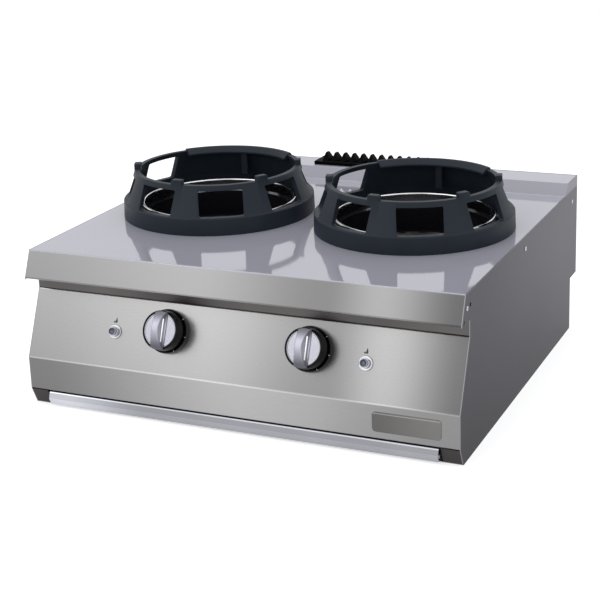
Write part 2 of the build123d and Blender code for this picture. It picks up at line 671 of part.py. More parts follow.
def burner_body(x):
    """Cast burner cup with its mixer tube and the yoke that holds the injector."""
    foot = SUPPORT_TOP_Z
    floor = foot + BURNER_FLOOR
    inner = BURNER_RIM_R - BURNER_WALL
    shoulder = MIXER_Z + BURNER_SHOULDER
    cup = turned(
        [
            (0, foot), (BURNER_FOOT_R, foot), (BURNER_FOOT_R, foot + BURNER_FOOT),
            (BURNER_NECK_R, floor),
            (BURNER_NECK_R, MIXER_Z + BURNER_NECK_TOP), (BURNER_RIM_R - BURNER_TAPER, shoulder),
            (BURNER_RIM_R, BURNER_RIM_Z), (inner, BURNER_RIM_Z),
            (inner, BURNER_RIM_Z - CROWN_SPIGOT - BLIND_END),
            (inner - BURNER_TAPER, MIXER_Z + BURNER_CUP_FLOOR),
            (MIXER_BORE_R, MIXER_Z + BURNER_THROAT), (MIXER_BORE_R, floor), (0, floor),
        ]
    )
    tube = turned(
        [
            (0, 0), (MIXER_R, 0), (MIXER_R, MIXER_LENGTH - MIXER_BELL), (MIXER_BELL_R, MIXER_LENGTH),
            (0, MIXER_LENGTH),
        ]
    )
    bore = turned(
        [
            (0, 0), (MIXER_BORE_R, 0), (MIXER_BORE_R, MIXER_LENGTH - MIXER_BELL),
            (MIXER_BELL_R - MIXER_BELL_WALL, MIXER_LENGTH),
            (MIXER_BELL_R - MIXER_BELL_WALL, MIXER_LENGTH + 1), (0, MIXER_LENGTH + 1),
        ]
    )
    along = Pos(0, 0, MIXER_Z) * Rot(90, 0, 0)
    chamber = upright(MIXER_BORE_R, floor, shoulder)
    casting = cup + along * tube - chamber - along * bore
    reach = MIXER_LENGTH + YOKE_REACH
    for side in (-1, 1):
        bar_x = side * (MIXER_BELL_R - YOKE_BAR / 2)
        bar = Box(YOKE_BAR, YOKE_REACH + YOKE_OVERLAP, YOKE_BAR)
        casting += Pos(bar_x, -reach + (YOKE_REACH + YOKE_OVERLAP) / 2, MIXER_Z) * bar
    plate = Pos(0, -reach + YOKE_PLATE / 2, MIXER_Z) * Box(2 * MIXER_BELL_R, YOKE_PLATE, 3 * YOKE_BAR)
    injector_hole = disc(INJECTOR_SHANK_R, -2 * YOKE_PLATE, 2 * YOKE_PLATE)
    plate -= Pos(0, -reach, MIXER_Z) * Rot(90, 0, 0) * injector_hole
    return Pos(x, STATION_Y, 0) * (casting + plate)


def burner_crown(x):
    """Lift-off crown with a ring of flame slots in its sloping face."""
    inner = BURNER_RIM_R - BURNER_WALL
    spigot = inner - CROWN_PLAY
    low, top = BURNER_RIM_Z, BURNER_RIM_Z + CROWN_HEIGHT
    crown = turned(
        [
            (spigot, low - CROWN_SPIGOT), (spigot, low), (BURNER_RIM_R, low),
            (BURNER_RIM_R, low + CROWN_EDGE),
            (CROWN_TOP_R, top - CROWN_RIM), (CROWN_TOP_R - CROWN_TOP_INSET, top), (0, top),
            (0, top - CROWN_ROOF),
            (CROWN_TOP_R - CROWN_TOP_INSET - CROWN_RIM, top - CROWN_ROOF),
            (spigot - CROWN_EDGE, low + CROWN_EDGE), (spigot - CROWN_EDGE, low - CROWN_SPIGOT),
        ]
    )
    slot = Pos((CROWN_TOP_R + BURNER_RIM_R) / 2, 0, low + CROWN_ROOF + CROWN_HEIGHT / 2)
    slot *= Box(BURNER_RIM_R - CROWN_TOP_R + CROWN_PORT_REACH, CROWN_PORT_WIDTH,
                CROWN_HEIGHT - CROWN_PORT_MARGIN)
    for index in range(CROWN_PORTS):
        crown -= Rot(0, 0, 360 * index / CROWN_PORTS) * slot
    return Pos(x, STATION_Y, 0) * crown


def injector(x):
    """Brass injector screwed into the burner's yoke."""
    reach = MIXER_LENGTH + YOKE_REACH
    body = disc(INJECTOR_NOSE_R, -YOKE_PLATE - INJECTOR_NOSE, -YOKE_PLATE)
    body += disc(INJECTOR_SHANK_R, -YOKE_PLATE, 0)
    body += extrude(RegularPolygon(INJECTOR_R, 6), amount=INJECTOR_HEX)
    body += disc(INJECTOR_INLET_R, INJECTOR_HEX, INJECTOR_LENGTH)
    return Pos(x, STATION_Y - reach, MIXER_Z) * Rot(90, 0, 0) * body


def pilot_group(x):
    """Pilot burner, thermocouple and spark electrode on one plate under the well's floor."""
    top = WELL_FLOOR_Z
    inner, outer = PILOT_CIRCLE_R - PILOT_PLATE_INSET, PILOT_PLATE_OUTER_R
    plate = ring_sector(
        [(inner, top - PILOT_PLATE), (outer, top - PILOT_PLATE), (outer, top), (inner, top)],
        PILOT_MIDDLE, PILOT_PLATE_HALF_ANGLE,
    )
    for angle, radius, rod_top in zip(PILOT_ANGLES, PILOT_ROD_RS, PILOT_TOPS_Z):
        rod = upright(radius, PILOT_FOOT_Z, rod_top, PILOT_CIRCLE_R)
        plate += Rot(0, 0, PILOT_MIDDLE + angle - 90) * rod
    return Pos(x, STATION_Y, 0) * plate


# ---- gas train ---------------------------------------------------------------------------------

def rail_centre():
    """Centre of the gas rail, behind the control panel."""
    return panel_point(0, RAIL_UP_PANEL, -RAIL_BEHIND)


def gas_rail():
    """Supply pipe along the front and back to the inlet, with a flat boss under each valve."""
    centre = rail_centre()
    corner_points = [
        (RAIL_LEFT_X, centre.Y, centre.Z),
        (RAIL_RIGHT_X, centre.Y, centre.Z),
        (RAIL_RIGHT_X, RAIL_END_Y, centre.Z),
    ]
    path = FilletPolyline(*corner_points, radius=RAIL_BEND_R)
    pipe = sweep(Plane(origin=corner_points[0], z_dir=(1, 0, 0)) * Circle(RAIL_R), path=path)
    for x in KNOBS.values():
        start = Vector(x, centre.Y, centre.Z)
        plane = Plane(origin=start, x_dir=(1, 0, 0), z_dir=UP_PANEL)
        pipe += plane.location * disc(BOSS_R, 0, RAIL_R + BOSS_LENGTH)
    return pipe


def gas_inlet():
    """Threaded connection in the recess under the upper back."""
    y = LOWER_BACK_Y
    body = disc(INLET_BODY_R, 0, y - THIN_SHEET - RAIL_END_Y)
    body += disc(INLET_R, 0, y - RAIL_END_Y + INLET_NUT + INLET_LENGTH)
    nut = Pos(0, 0, y - RAIL_END_Y) * extrude(RegularPolygon(INLET_NUT_AF / 2, 6, major_radius=False),
                                              amount=INLET_NUT)
    return Pos(RAIL_RIGHT_X, RAIL_END_Y, rail_centre().Z) * Rot(-90, 0, 0) * (body + nut)


def gas_valve(x):
    """Push-and-turn valve: bonnet and body in line with the knob, tail on the rail, outlet above."""
    place = panel_plane(x, KNOB_UP_PANEL).location
    body = disc(VALVE_R, -VALVE_REAR, -VALVE_FRONT)
    body = chamfer(body.edges().group_by(Axis.Z)[0], VALVE_EDGE)
    across = Pos(0, 0, -RAIL_BEHIND) * Rot(90, 0, 0)
    tail_end = KNOB_UP_PANEL - RAIL_UP_PANEL - RAIL_R - BOSS_LENGTH
    body += across * disc(VALVE_TAIL_R, 0, tail_end)
    body += across * disc(VALVE_OUTLET_R, -VALVE_R - VALVE_OUTLET, 0)
    spindle_end = SPINDLE_END + KNOB_TRAVEL + BLIND_END
    body -= disc(SPINDLE_R + SPINDLE_PLAY, -spindle_end, 0)
    body -= disc(ROD_R + ROD_PLAY, -ROD_END - KNOB_TRAVEL - BLIND_END, 0)
    return place * body


def feed_pipe(x, knob_x):
    """Tube from a valve's outlet to its burner's injector."""
    start = panel_point(knob_x, KNOB_UP_PANEL + VALVE_R + VALVE_OUTLET, -RAIL_BEHIND)
    rise = start + UP_PANEL * FEED_RISE
    end_y = STATION_Y - MIXER_LENGTH - YOKE_REACH - INJECTOR_LENGTH
    turn = Vector(x, rise.Y, MIXER_Z)
    path = FilletPolyline(start, rise, turn, Vector(x, end_y, MIXER_Z), radius=FEED_BEND_R)
    return sweep(Plane(origin=start, z_dir=UP_PANEL) * Circle(FEED_R), path=path)


# ---- knobs -------------------------------------------------------------------------------------

def knob_bezel(x):
    """Fixed dial ring that the knob turns in."""
    inner = KNOB_R + BEZEL_PLAY
    ring = disc(BEZEL_R, 0, BEZEL_RIM_HEIGHT) - disc(inner, BEZEL_PLATE, BEZEL_RIM_HEIGHT)
    ring -= disc(SPINDLE_HOLE_R, 0, BEZEL_PLATE)
    ring = fillet(ring.edges().group_by(Axis.Z)[-1], BEZEL_EDGE)
    return panel_plane(x, KNOB_UP_PANEL).location * ring


def knob_skirt(x):
    """Black knob body, grooved round its side and hollowed for the spindle."""
    low, top = KNOB_FOOT, KNOB_FACE
    groove_low, groove_top = KNOB_GROOVE, KNOB_GROOVE + KNOB_GROOVE_WIDTH
    skirt = turned(
        [
            (0, low), (KNOB_R, low), (KNOB_R, groove_low),
            (KNOB_R - KNOB_GROOVE_DEPTH, groove_low), (KNOB_R - KNOB_GROOVE_DEPTH, groove_top),
            (KNOB_R, groove_top), (KNOB_FACE_R, top - KNOB_EDGE), (KNOB_FACE_R - KNOB_EDGE, top),
            (DISC_R + DISC_PLAY, top), (DISC_R + DISC_PLAY, top - KNOB_RECESS), (0, top - KNOB_RECESS),
        ]
    )
    skirt -= disc(SPINDLE_R, 0, SPINDLE_TOP)
    return panel_plane(x, KNOB_UP_PANEL).location * skirt


def grip_outline():
    """Plan of the grip bar: wide at both ends with hollow flanks."""
    half_end, half_waist = GRIP_END_WIDTH / 2, GRIP_WAIST / 2
    reach = (KNOB_FACE_R**2 - half_end**2) ** 0.5
    right = ThreePointArc((half_end, -reach), (half_waist, 0), (half_end, reach))
    top = ThreePointArc((half_end, reach), (0, KNOB_FACE_R), (-half_end, reach))
    left = ThreePointArc((-half_end, reach), (-half_waist, 0), (-half_end, -reach))
    bottom = ThreePointArc((-half_end, -reach), (0, -KNOB_FACE_R), (half_end, -reach))
    return make_face([right, top, left, bottom])


def knob_cap(x):
    """Bright disc with the grip bar and its pointer line."""
    cap = disc(DISC_R, KNOB_FACE - KNOB_RECESS, KNOB_FACE)
    bar = Pos(0, 0, KNOB_FACE) * extrude(grip_outline(), amount=GRIP_TOP - KNOB_FACE)
    bevel = (GRIP_WAIST - GRIP_RIDGE) / 2
    bar = chamfer(bar.edges().group_by(Axis.Z)[-1], bevel, (GRIP_TOP - KNOB_FACE) * GRIP_BEVEL)
    pointer = Pos(0, 0, GRIP_TOP) * extrude(SlotOverall(POINTER_LENGTH, POINTER_WIDTH, rotation=90),
                                            amount=POINTER_PROUD)
    return panel_plane(x, KNOB_UP_PANEL).location * (cap + bar + pointer)


def valve_spindle(x):
    """Shaft that turns the valve and pushes its rod."""
    return panel_plane(x, KNOB_UP_PANEL).location * disc(SPINDLE_R, -SPINDLE_END, SPINDLE_TOP)


def push_rod(x):
    """Rod inside the valve that opens the flame-failure seat when the knob is pressed."""
    return panel_plane(x, KNOB_UP_PANEL).location * disc(ROD_R, -ROD_END, -SPINDLE_END - ROD_GAP)


# ---- igniter buttons ---------------------------------------------------------------------------

def igniter_housing(x):
    """Chromed flange and barrel that the button slides in."""
    housing = disc(IGNITER_FLANGE_R, 0, IGNITER_FLANGE)
    housing = fillet(housing.edges().group_by(Axis.Z)[-1], IGNITER_EDGE)
    housing += disc(IGNITER_BARREL_R, -THIN_SHEET, IGNITER_BARREL)
    housing += disc(IGNITER_BARREL_R - IGNITER_THREAD, -IGNITER_SHANK, 0)
    housing -= disc(BUTTON_R + BUTTON_PLAY, -BUTTON_END - BUTTON_TRAVEL - BLIND_END, IGNITER_BARREL)
    rim = housing.edges().filter_by(GeomType.CIRCLE).group_by(Axis.Z)[-1]
    housing = chamfer(rim, IGNITER_RIM)
    return panel_plane(x, BUTTON_UP_PANEL).location * housing


def igniter_body(x):
    """Piezo block screwed on behind the panel."""
    body = disc(IGNITER_BODY_R, -IGNITER_BODY_END, -THIN_SHEET)
    body -= disc(IGNITER_BARREL_R, -IGNITER_SHANK, 0)
    return panel_plane(x, BUTTON_UP_PANEL).location * body


def igniter_button(x):
    """Button with a dished tip."""
    button = disc(BUTTON_R, -BUTTON_END, BUTTON_TOP)
    button = fillet(button.edges().group_by(Axis.Z)[-1], BUTTON_EDGE)
    dish_r = (BUTTON_R**2 + BUTTON_DISH**2) / (2 * BUTTON_DISH)
    button -= Pos(0, 0, BUTTON_TOP - BUTTON_DISH + dish_r) * Sphere(dish_r)
    return panel_plane(x, BUTTON_UP_PANEL).location * button


# ---- drip tray ---------------------------------------------------------------------------------

def drip_tray():
    """Shallow pan that slides out under the control panel."""
    middle = Pos(0, TRAY_FRONT_Y + TRAY_LENGTH / 2, TRAY_FLOOR_Z)
    outer = RectangleRounded(TRAY_WIDTH, TRAY_LENGTH, TRAY_CORNER)
    inner = RectangleRounded(TRAY_WIDTH - 2 * TRAY_SHEET, TRAY_LENGTH - 2 * TRAY_SHEET,
                             TRAY_CORNER - TRAY_SHEET)
    pan = extrude(outer, amount=TRAY_TOP_Z - TRAY_FLOOR_Z)
    pan -= Pos(0, 0, TRAY_SHEET) * extrude(inner, amount=TRAY_TOP_Z - TRAY_FLOOR_Z)
    return middle * pan


def tray_strip():
    """Rolled strip along the tray's front, open below as a finger pull."""
    wall = TRAY_FRONT_Y - TRAY_STRIP / 2
    path = FilletPolyline(
        (wall, TRAY_STRIP_FOOT_Z + TRAY_STRIP_WALL_FOOT), (wall, TRAY_STRIP_TOP_Z - TRAY_STRIP / 2),
        (FRONT_Y + TRAY_STRIP_BULGE, TRAY_STRIP_TOP_Z - TRAY_STRIP / 2),
        (FRONT_Y - TRAY_STRIP_BULGE, TRAY_STRIP_TOP_Z / 2 + 1),
        (FRONT_Y + TRAY_STRIP_CURL, TRAY_STRIP_FOOT_Z), radius=TRAY_STRIP_BEND,
    )
    half = TRAY_WIDTH / 2
    return extrude(Plane.YZ * trace(path, TRAY_STRIP), amount=half, both=True)


def tray_runners():
    """Angle runners on the base frame, one each side of the tray."""
    wall_x = TRAY_WIDTH / 2 + RUNNER_GAP
    low = BASE_SHEET
    angle = Polyline(
        (wall_x + THIN_SHEET, low), (wall_x + THIN_SHEET, RUNNER_TOP_Z), (wall_x, RUNNER_TOP_Z),
        (wall_x, low + THIN_SHEET), (wall_x - RUNNER_LEG, low + THIN_SHEET), (wall_x - RUNNER_LEG, low),
        close=True,
    )
    length = TRAY_LENGTH - 2 * RUNNER_END_GAP
    runner = extrude(Plane.XZ * make_face(angle), amount=-length)
    runner = Pos(0, TRAY_FRONT_Y + RUNNER_END_GAP, 0) * runner
    return Compound(children=[runner, mirror(runner, Plane.YZ)])


# ---- flue --------------------------------------------------------------------------------------

def flue_duct():
    """Short duct under the rear deck, flanged to its underside."""
    top = DECK_Z - SHEET
    outer = Rectangle(FLUE_HOLE[0] + 2 * THIN_SHEET, FLUE_HOLE[1] + 2 * THIN_SHEET)
    flange_size = (FLUE_HOLE[0] + 2 * FLUE_DUCT_FLANGE, FLUE_HOLE[1] + 2 * FLUE_DUCT_FLANGE)
    duct = Pos(0, 0, top - FLUE_DUCT_DROP) * extrude(outer, amount=FLUE_DUCT_DROP)
    duct += Pos(0, 0, top - THIN_SHEET) * extrude(Rectangle(*flange_size), amount=THIN_SHEET)
    duct -= Pos(0, 0, top - FLUE_DUCT_DROP) * extrude(Rectangle(*FLUE_HOLE), amount=FLUE_DUCT_DROP)
    return Pos(FLUE_X, FLUE_Y, 0) * duct


def flue_grille():
    """Cast grille with a row of tall fins, dropped into the rear deck."""
    frame = extrude(RectangleRounded(*GRILLE_SIZE, GRILLE_CORNER), amount=GRILLE_FRAME)
    frame = chamfer(frame.edges().group_by(Axis.Z)[-1], GRILLE_EDGE)
    skirt_size = [size - 2 * GRILLE_SKIRT_PLAY for size in FLUE_HOLE]
    skirt = Rectangle(*skirt_size)
    skirt -= Rectangle(*[size - 2 * GRILLE_SKIRT_WALL for size in skirt_size])
    frame += extrude(skirt, amount=-GRILLE_SKIRT_DEPTH)
    slot_size = (FIN_PITCH - FIN_FOOT[0], skirt_size[1] - 2 * GRILLE_SKIRT_WALL)
    slot = extrude(Rectangle(*slot_size), amount=GRILLE_FRAME)
    fin_foot = RectangleRounded(*FIN_FOOT, FIN_FOOT_CORNER)
    fin_crest = Pos(0, 0, FIN_HEIGHT) * RectangleRounded(*FIN_CREST, FIN_CREST_CORNER)
    fin = loft([fin_foot, fin_crest], ruled=True)
    for index in range(FIN_COUNT - 1):
        frame -= Pos((index - (FIN_COUNT - 2) / 2) * FIN_PITCH, 0, 0) * slot
    for index in range(FIN_COUNT):
        frame += Pos((index - (FIN_COUNT - 1) / 2) * FIN_PITCH, 0, GRILLE_FRAME) * fin
    return Pos(FLUE_X, FLUE_Y, DECK_Z) * frame


# ---- the whole range ---------------------------------------------------------------------------

def build():
    keep("worktop", worktop())
    keep("control_panel", control_panel())
    keep("front_crossmember", front_crossmember())
    keep("back_panel", back_panel())
    keep("base_frame", base_frame())
    keep("sill_plates", sill_plates())
    keep("nameplate", nameplate())
    keep("side_screws", side_screws())
    keep("burner_support", burner_support())
    keep("gas_rail", gas_rail())
    keep("gas_inlet", gas_inlet())
    keep("flue_duct", flue_duct())
    keep("flue_grille", flue_grille())
    keep("drip_tray", drip_tray())
    keep("tray_strip", tray_strip())
    keep("tray_runners", tray_runners())
    for side, x in STATIONS.items():
        keep(f"{side}_side_panel", side_panel(side))
        keep(f"{side}_well", well(x))
        keep(f"{side}_collar", collar(x))
        keep(f"{side}_wok_ring", wok_ring(side))
        keep(f"{side}_burner_body", burner_body(x))
        keep(f"{side}_burner_crown", burner_crown(x))
        keep(f"{side}_injector", injector(x))
        keep(f"{side}_pilot_group", pilot_group(x))
        keep(f"{side}_feed_pipe", feed_pipe(x, KNOBS[side]))
    for side, x in KNOBS.items():
        keep(f"{side}_gas_valve", gas_valve(x))
        keep(f"{side}_knob_bezel", knob_bezel(x))
        keep(f"{side}_knob_skirt", knob_skirt(x))
        keep(f"{side}_knob_cap", knob_cap(x))
        keep(f"{side}_valve_spindle", valve_spindle(x))
        keep(f"{side}_push_rod", push_rod(x))
    for side, x in BUTTONS.items():
        keep(f"{side}_igniter_housing", igniter_housing(x))
        keep(f"{side}_igniter_body", igniter_body(x))
        keep(f"{side}_igniter_button", igniter_button(x))


build()
os.makedirs("parts", exist_ok=True)
for name, shape in NODES.items():
    export_step(shape, f"parts/{name}.step")
print(len(NODES), "nodes")
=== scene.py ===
"""Counter-top gas wok range: finishes, cast rings, dial marks and small fittings in a white studio.

Metres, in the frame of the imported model: X to the right, Y to the back, Z up.
"""
import json
from math import cos, hypot, pi, radians, sin, sqrt

import bmesh
import bpy
from mathutils import Matrix, Vector


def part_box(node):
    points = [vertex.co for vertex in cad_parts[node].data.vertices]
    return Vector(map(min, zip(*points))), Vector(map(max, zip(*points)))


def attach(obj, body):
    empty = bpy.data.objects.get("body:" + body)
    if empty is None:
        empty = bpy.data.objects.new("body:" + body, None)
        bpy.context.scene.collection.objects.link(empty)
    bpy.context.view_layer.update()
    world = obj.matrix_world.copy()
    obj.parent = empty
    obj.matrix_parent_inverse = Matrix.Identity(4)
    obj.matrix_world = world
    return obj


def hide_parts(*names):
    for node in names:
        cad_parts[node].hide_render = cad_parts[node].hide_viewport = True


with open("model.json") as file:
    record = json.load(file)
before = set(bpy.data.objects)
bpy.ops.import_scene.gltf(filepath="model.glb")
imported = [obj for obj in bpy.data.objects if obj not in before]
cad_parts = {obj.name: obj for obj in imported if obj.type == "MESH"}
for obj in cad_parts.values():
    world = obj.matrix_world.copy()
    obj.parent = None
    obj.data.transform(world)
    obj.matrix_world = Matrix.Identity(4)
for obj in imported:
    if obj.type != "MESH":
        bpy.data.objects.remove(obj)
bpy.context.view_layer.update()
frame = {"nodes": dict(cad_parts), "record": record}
nodes = frame["nodes"]

MM = 0.001
SIDES = ("left", "right")

# ---- driving sizes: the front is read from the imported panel, the rest repeat the CAD's ----------

FRONT_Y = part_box("control_panel")[0].y
PANEL_BEND = Vector((0, FRONT_Y, 90 * MM))
PANEL_RUN = (50 * MM, 114 * MM)                 # back and up
PANEL_SLANT = hypot(*PANEL_RUN)
UP_PANEL = Vector((0, PANEL_RUN[0] / PANEL_SLANT, PANEL_RUN[1] / PANEL_SLANT))
OUT_PANEL = Vector((0, -PANEL_RUN[1] / PANEL_SLANT, PANEL_RUN[0] / PANEL_SLANT))
KNOB_X = 132 * MM
KNOB_MIDDLE = 4.5 * MM
KNOB_UP_PANEL = 74.5 * MM
BUTTON_X = 233 * MM
BUTTON_UP_PANEL = 63 * MM
WORKTOP_Z = 280 * MM


# ---- small tools --------------------------------------------------------------------------------

def new_piece(name, mesh_data, finish, body):
    """Put a finished mesh in the scene, with its material, riding on a body."""
    piece = bpy.data.objects.new(name, mesh_data)
    bpy.context.scene.collection.objects.link(piece)
    piece.data.materials.append(finish)
    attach(piece, body)
    return piece


def mesh_from(name, mesh_builder):
    """Close a bmesh into mesh data with outward faces."""
    bmesh.ops.recalc_face_normals(mesh_builder, faces=mesh_builder.faces)
    data = bpy.data.meshes.new(name)
    mesh_builder.to_mesh(data)
    mesh_builder.free()
    return data


def plate_from_outline(mesh_builder, outline, thickness, place):
    """Add a flat plate with the given outline (x, y) on the plane that a matrix gives."""
    low = [mesh_builder.verts.new(place @ Vector((x, y, 0))) for x, y in outline]
    top = [mesh_builder.verts.new(place @ Vector((x, y, thickness))) for x, y in outline]
    mesh_builder.faces.new(list(reversed(low)))
    mesh_builder.faces.new(top)
    count = len(outline)
    for index in range(count):
        after = (index + 1) % count
        mesh_builder.faces.new((low[index], low[after], top[after], top[index]))


def panel_place(x, up_panel, out):
    """Matrix of a plane on the control panel: x to the right, y up the slope, z out of it."""
    origin = PANEL_BEND + UP_PANEL * up_panel + OUT_PANEL * out + Vector((x, 0, 0))
    axes = Matrix((Vector((1, 0, 0)), UP_PANEL, OUT_PANEL)).transposed().to_4x4()
    return Matrix.Translation(origin) @ axes


# ---- shader node groups -------------------------------------------------------------------------

def new_group(name, inputs, outputs):
    """Start a node group with (kind, name, value) inputs and (kind, name) outputs."""
    group = bpy.data.node_groups.new(name, "ShaderNodeTree")
    for kind, label, value in inputs:
        socket = group.interface.new_socket(name=label, in_out="INPUT", socket_type=kind)
        socket.default_value = value
    for kind, label in outputs:
        group.interface.new_socket(name=label, in_out="OUTPUT", socket_type=kind)
    entry = group.nodes.new("NodeGroupInput")
    result = group.nodes.new("NodeGroupOutput")
    return group, entry, result


def math_node(tree, operation, *values):
    """A Math node whose inputs are sockets or numbers."""
    node = tree.nodes.new("ShaderNodeMath")
    node.operation = operation
    for socket, value in zip(node.inputs, values):
        if isinstance(value, (int, float)):
            socket.default_value = value
        else:
            tree.links.new(value, socket)
    return node.outputs[0]


def place_along(tree, axis, source="Object"):
    """How far along X, Y or Z a point of the piece is, or how much its "Normal" points there."""
    place = tree.nodes.new("ShaderNodeTexCoord")
    parts = tree.nodes.new("ShaderNodeSeparateXYZ")
    tree.links.new(place.outputs[source], parts.inputs[0])
    return parts.outputs[axis]


def between(tree, value, start, end, low=0.0, high=1.0):
    """Ease from low to high while a value goes from start to end."""
    ease = tree.nodes.new("ShaderNodeMapRange")
    ease.interpolation_type = "SMOOTHSTEP"
    tree.links.new(value, ease.inputs["Value"])
    limits = {"From Min": start, "From Max": end, "To Min": low, "To Max": high}
    for label, number in limits.items():
        ease.inputs[label].default_value = number
    return ease.outputs["Result"]


def blended(tree, first, second, share):
    """first where share is 0, second where it is 1."""
    return math_node(tree, "MULTIPLY_ADD", share, math_node(tree, "SUBTRACT", second, first), first)


def near(tree, value, level, reach):
    """1 at a level, falling to 0 at a distance from it."""
    distance = math_node(tree, "ABSOLUTE", math_node(tree, "SUBTRACT", value, level))
    return between(tree, distance, reach, 0.0)


def colour_ramp(tree, share, stops, interpolation="LINEAR"):
    """Colour that changes with a share, through (share, (red, green, blue)) stops."""
    ramp = tree.nodes.new("ShaderNodeValToRGB")
    ramp.color_ramp.interpolation = interpolation
    elements = ramp.color_ramp.elements
    while len(elements) < len(stops):
        elements.new(0.5)
    for element, (position, colour) in zip(elements, stops):
        element.position = position
        element.color = (*colour, 1)
    tree.links.new(share, ramp.inputs["Fac"])
    return ramp.outputs["Color"]


def soft_bands(tree, axis, reach, stops):
    """Broad light and dark bands along an axis from -reach to reach, as (share, tone) stops."""
    share = tree.nodes.new("ShaderNodeMapRange")
    share.inputs["From Min"].default_value = -reach
    share.inputs["From Max"].default_value = reach
    tree.links.new(place_along(tree, axis), share.inputs["Value"])
    greys = [(position, (tone, tone, tone)) for position, tone in stops]
    return colour_ramp(tree, share.outputs["Result"], greys, "EASE")


def stretched_noise(tree, stretch, detail, roughness=0.55):
    """Noise on object coordinates, drawn out along the axes with a small stretch factor."""
    place = tree.nodes.new("ShaderNodeTexCoord")
    mapping = tree.nodes.new("ShaderNodeMapping")
    mapping.inputs["Scale"].default_value = stretch
    tree.links.new(place.outputs["Object"], mapping.inputs["Vector"])
    noise = tree.nodes.new("ShaderNodeTexNoise")
    noise.inputs["Scale"].default_value = 1.0
    noise.inputs["Detail"].default_value = detail
    noise.inputs["Roughness"].default_value = roughness
    tree.links.new(mapping.outputs["Vector"], noise.inputs["Vector"])
    return noise.outputs["Fac"]


def centred(tree, value, amount):
    """Turn noise round 0.5 into a factor round 1, with its swing scaled by amount."""
    swing = math_node(tree, "MULTIPLY", math_node(tree, "SUBTRACT", value, 0.5), amount)
    return math_node(tree, "ADD", swing, 1.0)


def tinted(tree, colour, factor):
    """Multiply a colour socket by a value socket."""
    scale = tree.nodes.new("ShaderNodeVectorMath")
    scale.operation = "SCALE"
    tree.links.new(colour, scale.inputs[0])
    tree.links.new(factor, scale.inputs["Scale"])
    return scale.outputs[0]


SKIN_OUTPUTS = (
    ("NodeSocketColor", "Colour"), ("NodeSocketFloat", "Roughness"), ("NodeSocketFloat", "Height"),
)


def brushed_group(name, grain_stretch, band_stretch):
    """Brushed sheet: fine grain along one axis, broad soft bands across the sheet."""
    group, entry, result = new_group(
        name,
        [
            ("NodeSocketColor", "Steel", (0.5, 0.5, 0.5, 1)), ("NodeSocketFloat", "Grain", 0.2),
            ("NodeSocketFloat", "Bands", 0.3), ("NodeSocketFloat", "Roughness", 0.25),
            ("NodeSocketFloat", "Tone", 1.0),
        ],
        SKIN_OUTPUTS,
    )
    grain = stretched_noise(group, grain_stretch, 4)
    bands = stretched_noise(group, band_stretch, 1)
    tone = math_node(
        group, "MULTIPLY", centred(group, grain, entry.outputs["Grain"]),
        centred(group, bands, entry.outputs["Bands"]),
    )
    tone = math_node(group, "MULTIPLY", tone, entry.outputs["Tone"])
    group.links.new(tinted(group, entry.outputs["Steel"], tone), result.inputs["Colour"])
    rough = math_node(group, "MULTIPLY", entry.outputs["Roughness"], centred(group, grain, 0.25))
    group.links.new(rough, result.inputs["Roughness"])
    group.links.new(grain, result.inputs["Height"])
    return group


def casting_group():
    """Sand-cast skin under stove finish: fine pits, soft tone clouds, rubbed high spots."""
    group, entry, result = new_group(
        "cast_skin",
        [
            ("NodeSocketColor", "Iron", (0.03, 0.04, 0.05, 1)),
            ("NodeSocketFloat", "Pit size", 900.0), ("NodeSocketFloat", "Clouding", 0.5),
            ("NodeSocketFloat", "Roughness", 0.5),
        ],
        SKIN_OUTPUTS,
    )
    place = group.nodes.new("ShaderNodeTexCoord")
    pits = group.nodes.new("ShaderNodeTexNoise")
    pits.inputs["Detail"].default_value = 3
    group.links.new(place.outputs["Object"], pits.inputs["Vector"])
    group.links.new(entry.outputs["Pit size"], pits.inputs["Scale"])
    clouds = stretched_noise(group, (22, 22, 30), 3)
    tone = centred(group, clouds, entry.outputs["Clouding"])
    group.links.new(tinted(group, entry.outputs["Iron"], tone), result.inputs["Colour"])
    rough = math_node(group, "MULTIPLY", entry.outputs["Roughness"], centred(group, clouds, 0.5))
    group.links.new(rough, result.inputs["Roughness"])
    group.links.new(pits.outputs["Fac"], result.inputs["Height"])
    return group


def moulded_group():
    """Moulded or painted skin: very fine stipple with a faint dulling from handling."""
    group, entry, result = new_group(
        "moulded_skin",
        [
            ("NodeSocketColor", "Skin", (0.01, 0.01, 0.01, 1)),
            ("NodeSocketFloat", "Stipple", 2500.0), ("NodeSocketFloat", "Handling", 0.3),
            ("NodeSocketFloat", "Roughness", 0.2), ("NodeSocketFloat", "Weave and shade", 1.0),
        ],
        SKIN_OUTPUTS,
    )
    place = group.nodes.new("ShaderNodeTexCoord")
    stipple = group.nodes.new("ShaderNodeTexNoise")
    stipple.inputs["Detail"].default_value = 2
    group.links.new(place.outputs["Object"], stipple.inputs["Vector"])
    group.links.new(entry.outputs["Stipple"], stipple.inputs["Scale"])
    smears = stretched_noise(group, (60, 60, 60), 3)
    # this input scales the tone: the weave on the knob's disc, and painted shade on the knob's grip
    tone = math_node(group, "MULTIPLY", centred(group, smears, entry.outputs["Handling"]),
                     entry.outputs["Weave and shade"])
    group.links.new(tinted(group, entry.outputs["Skin"], tone), result.inputs["Colour"])
    rough = math_node(group, "MULTIPLY", entry.outputs["Roughness"],
                      centred(group, smears, entry.outputs["Handling"]))
    group.links.new(rough, result.inputs["Roughness"])
    group.links.new(stipple.outputs["Fac"], result.inputs["Height"])
    return group


GRAIN_ALONG_X = brushed_group("brushed_across", (9, 2600, 2600), (9, 1.2, 1.2))
GRAIN_ALONG_Y = brushed_group("brushed_back", (2600, 9, 2600), (1.5, 3, 4))
CAST_SKIN = casting_group()
MOULDED_SKIN = moulded_group()


# ---- materials ----------------------------------------------------------------------------------

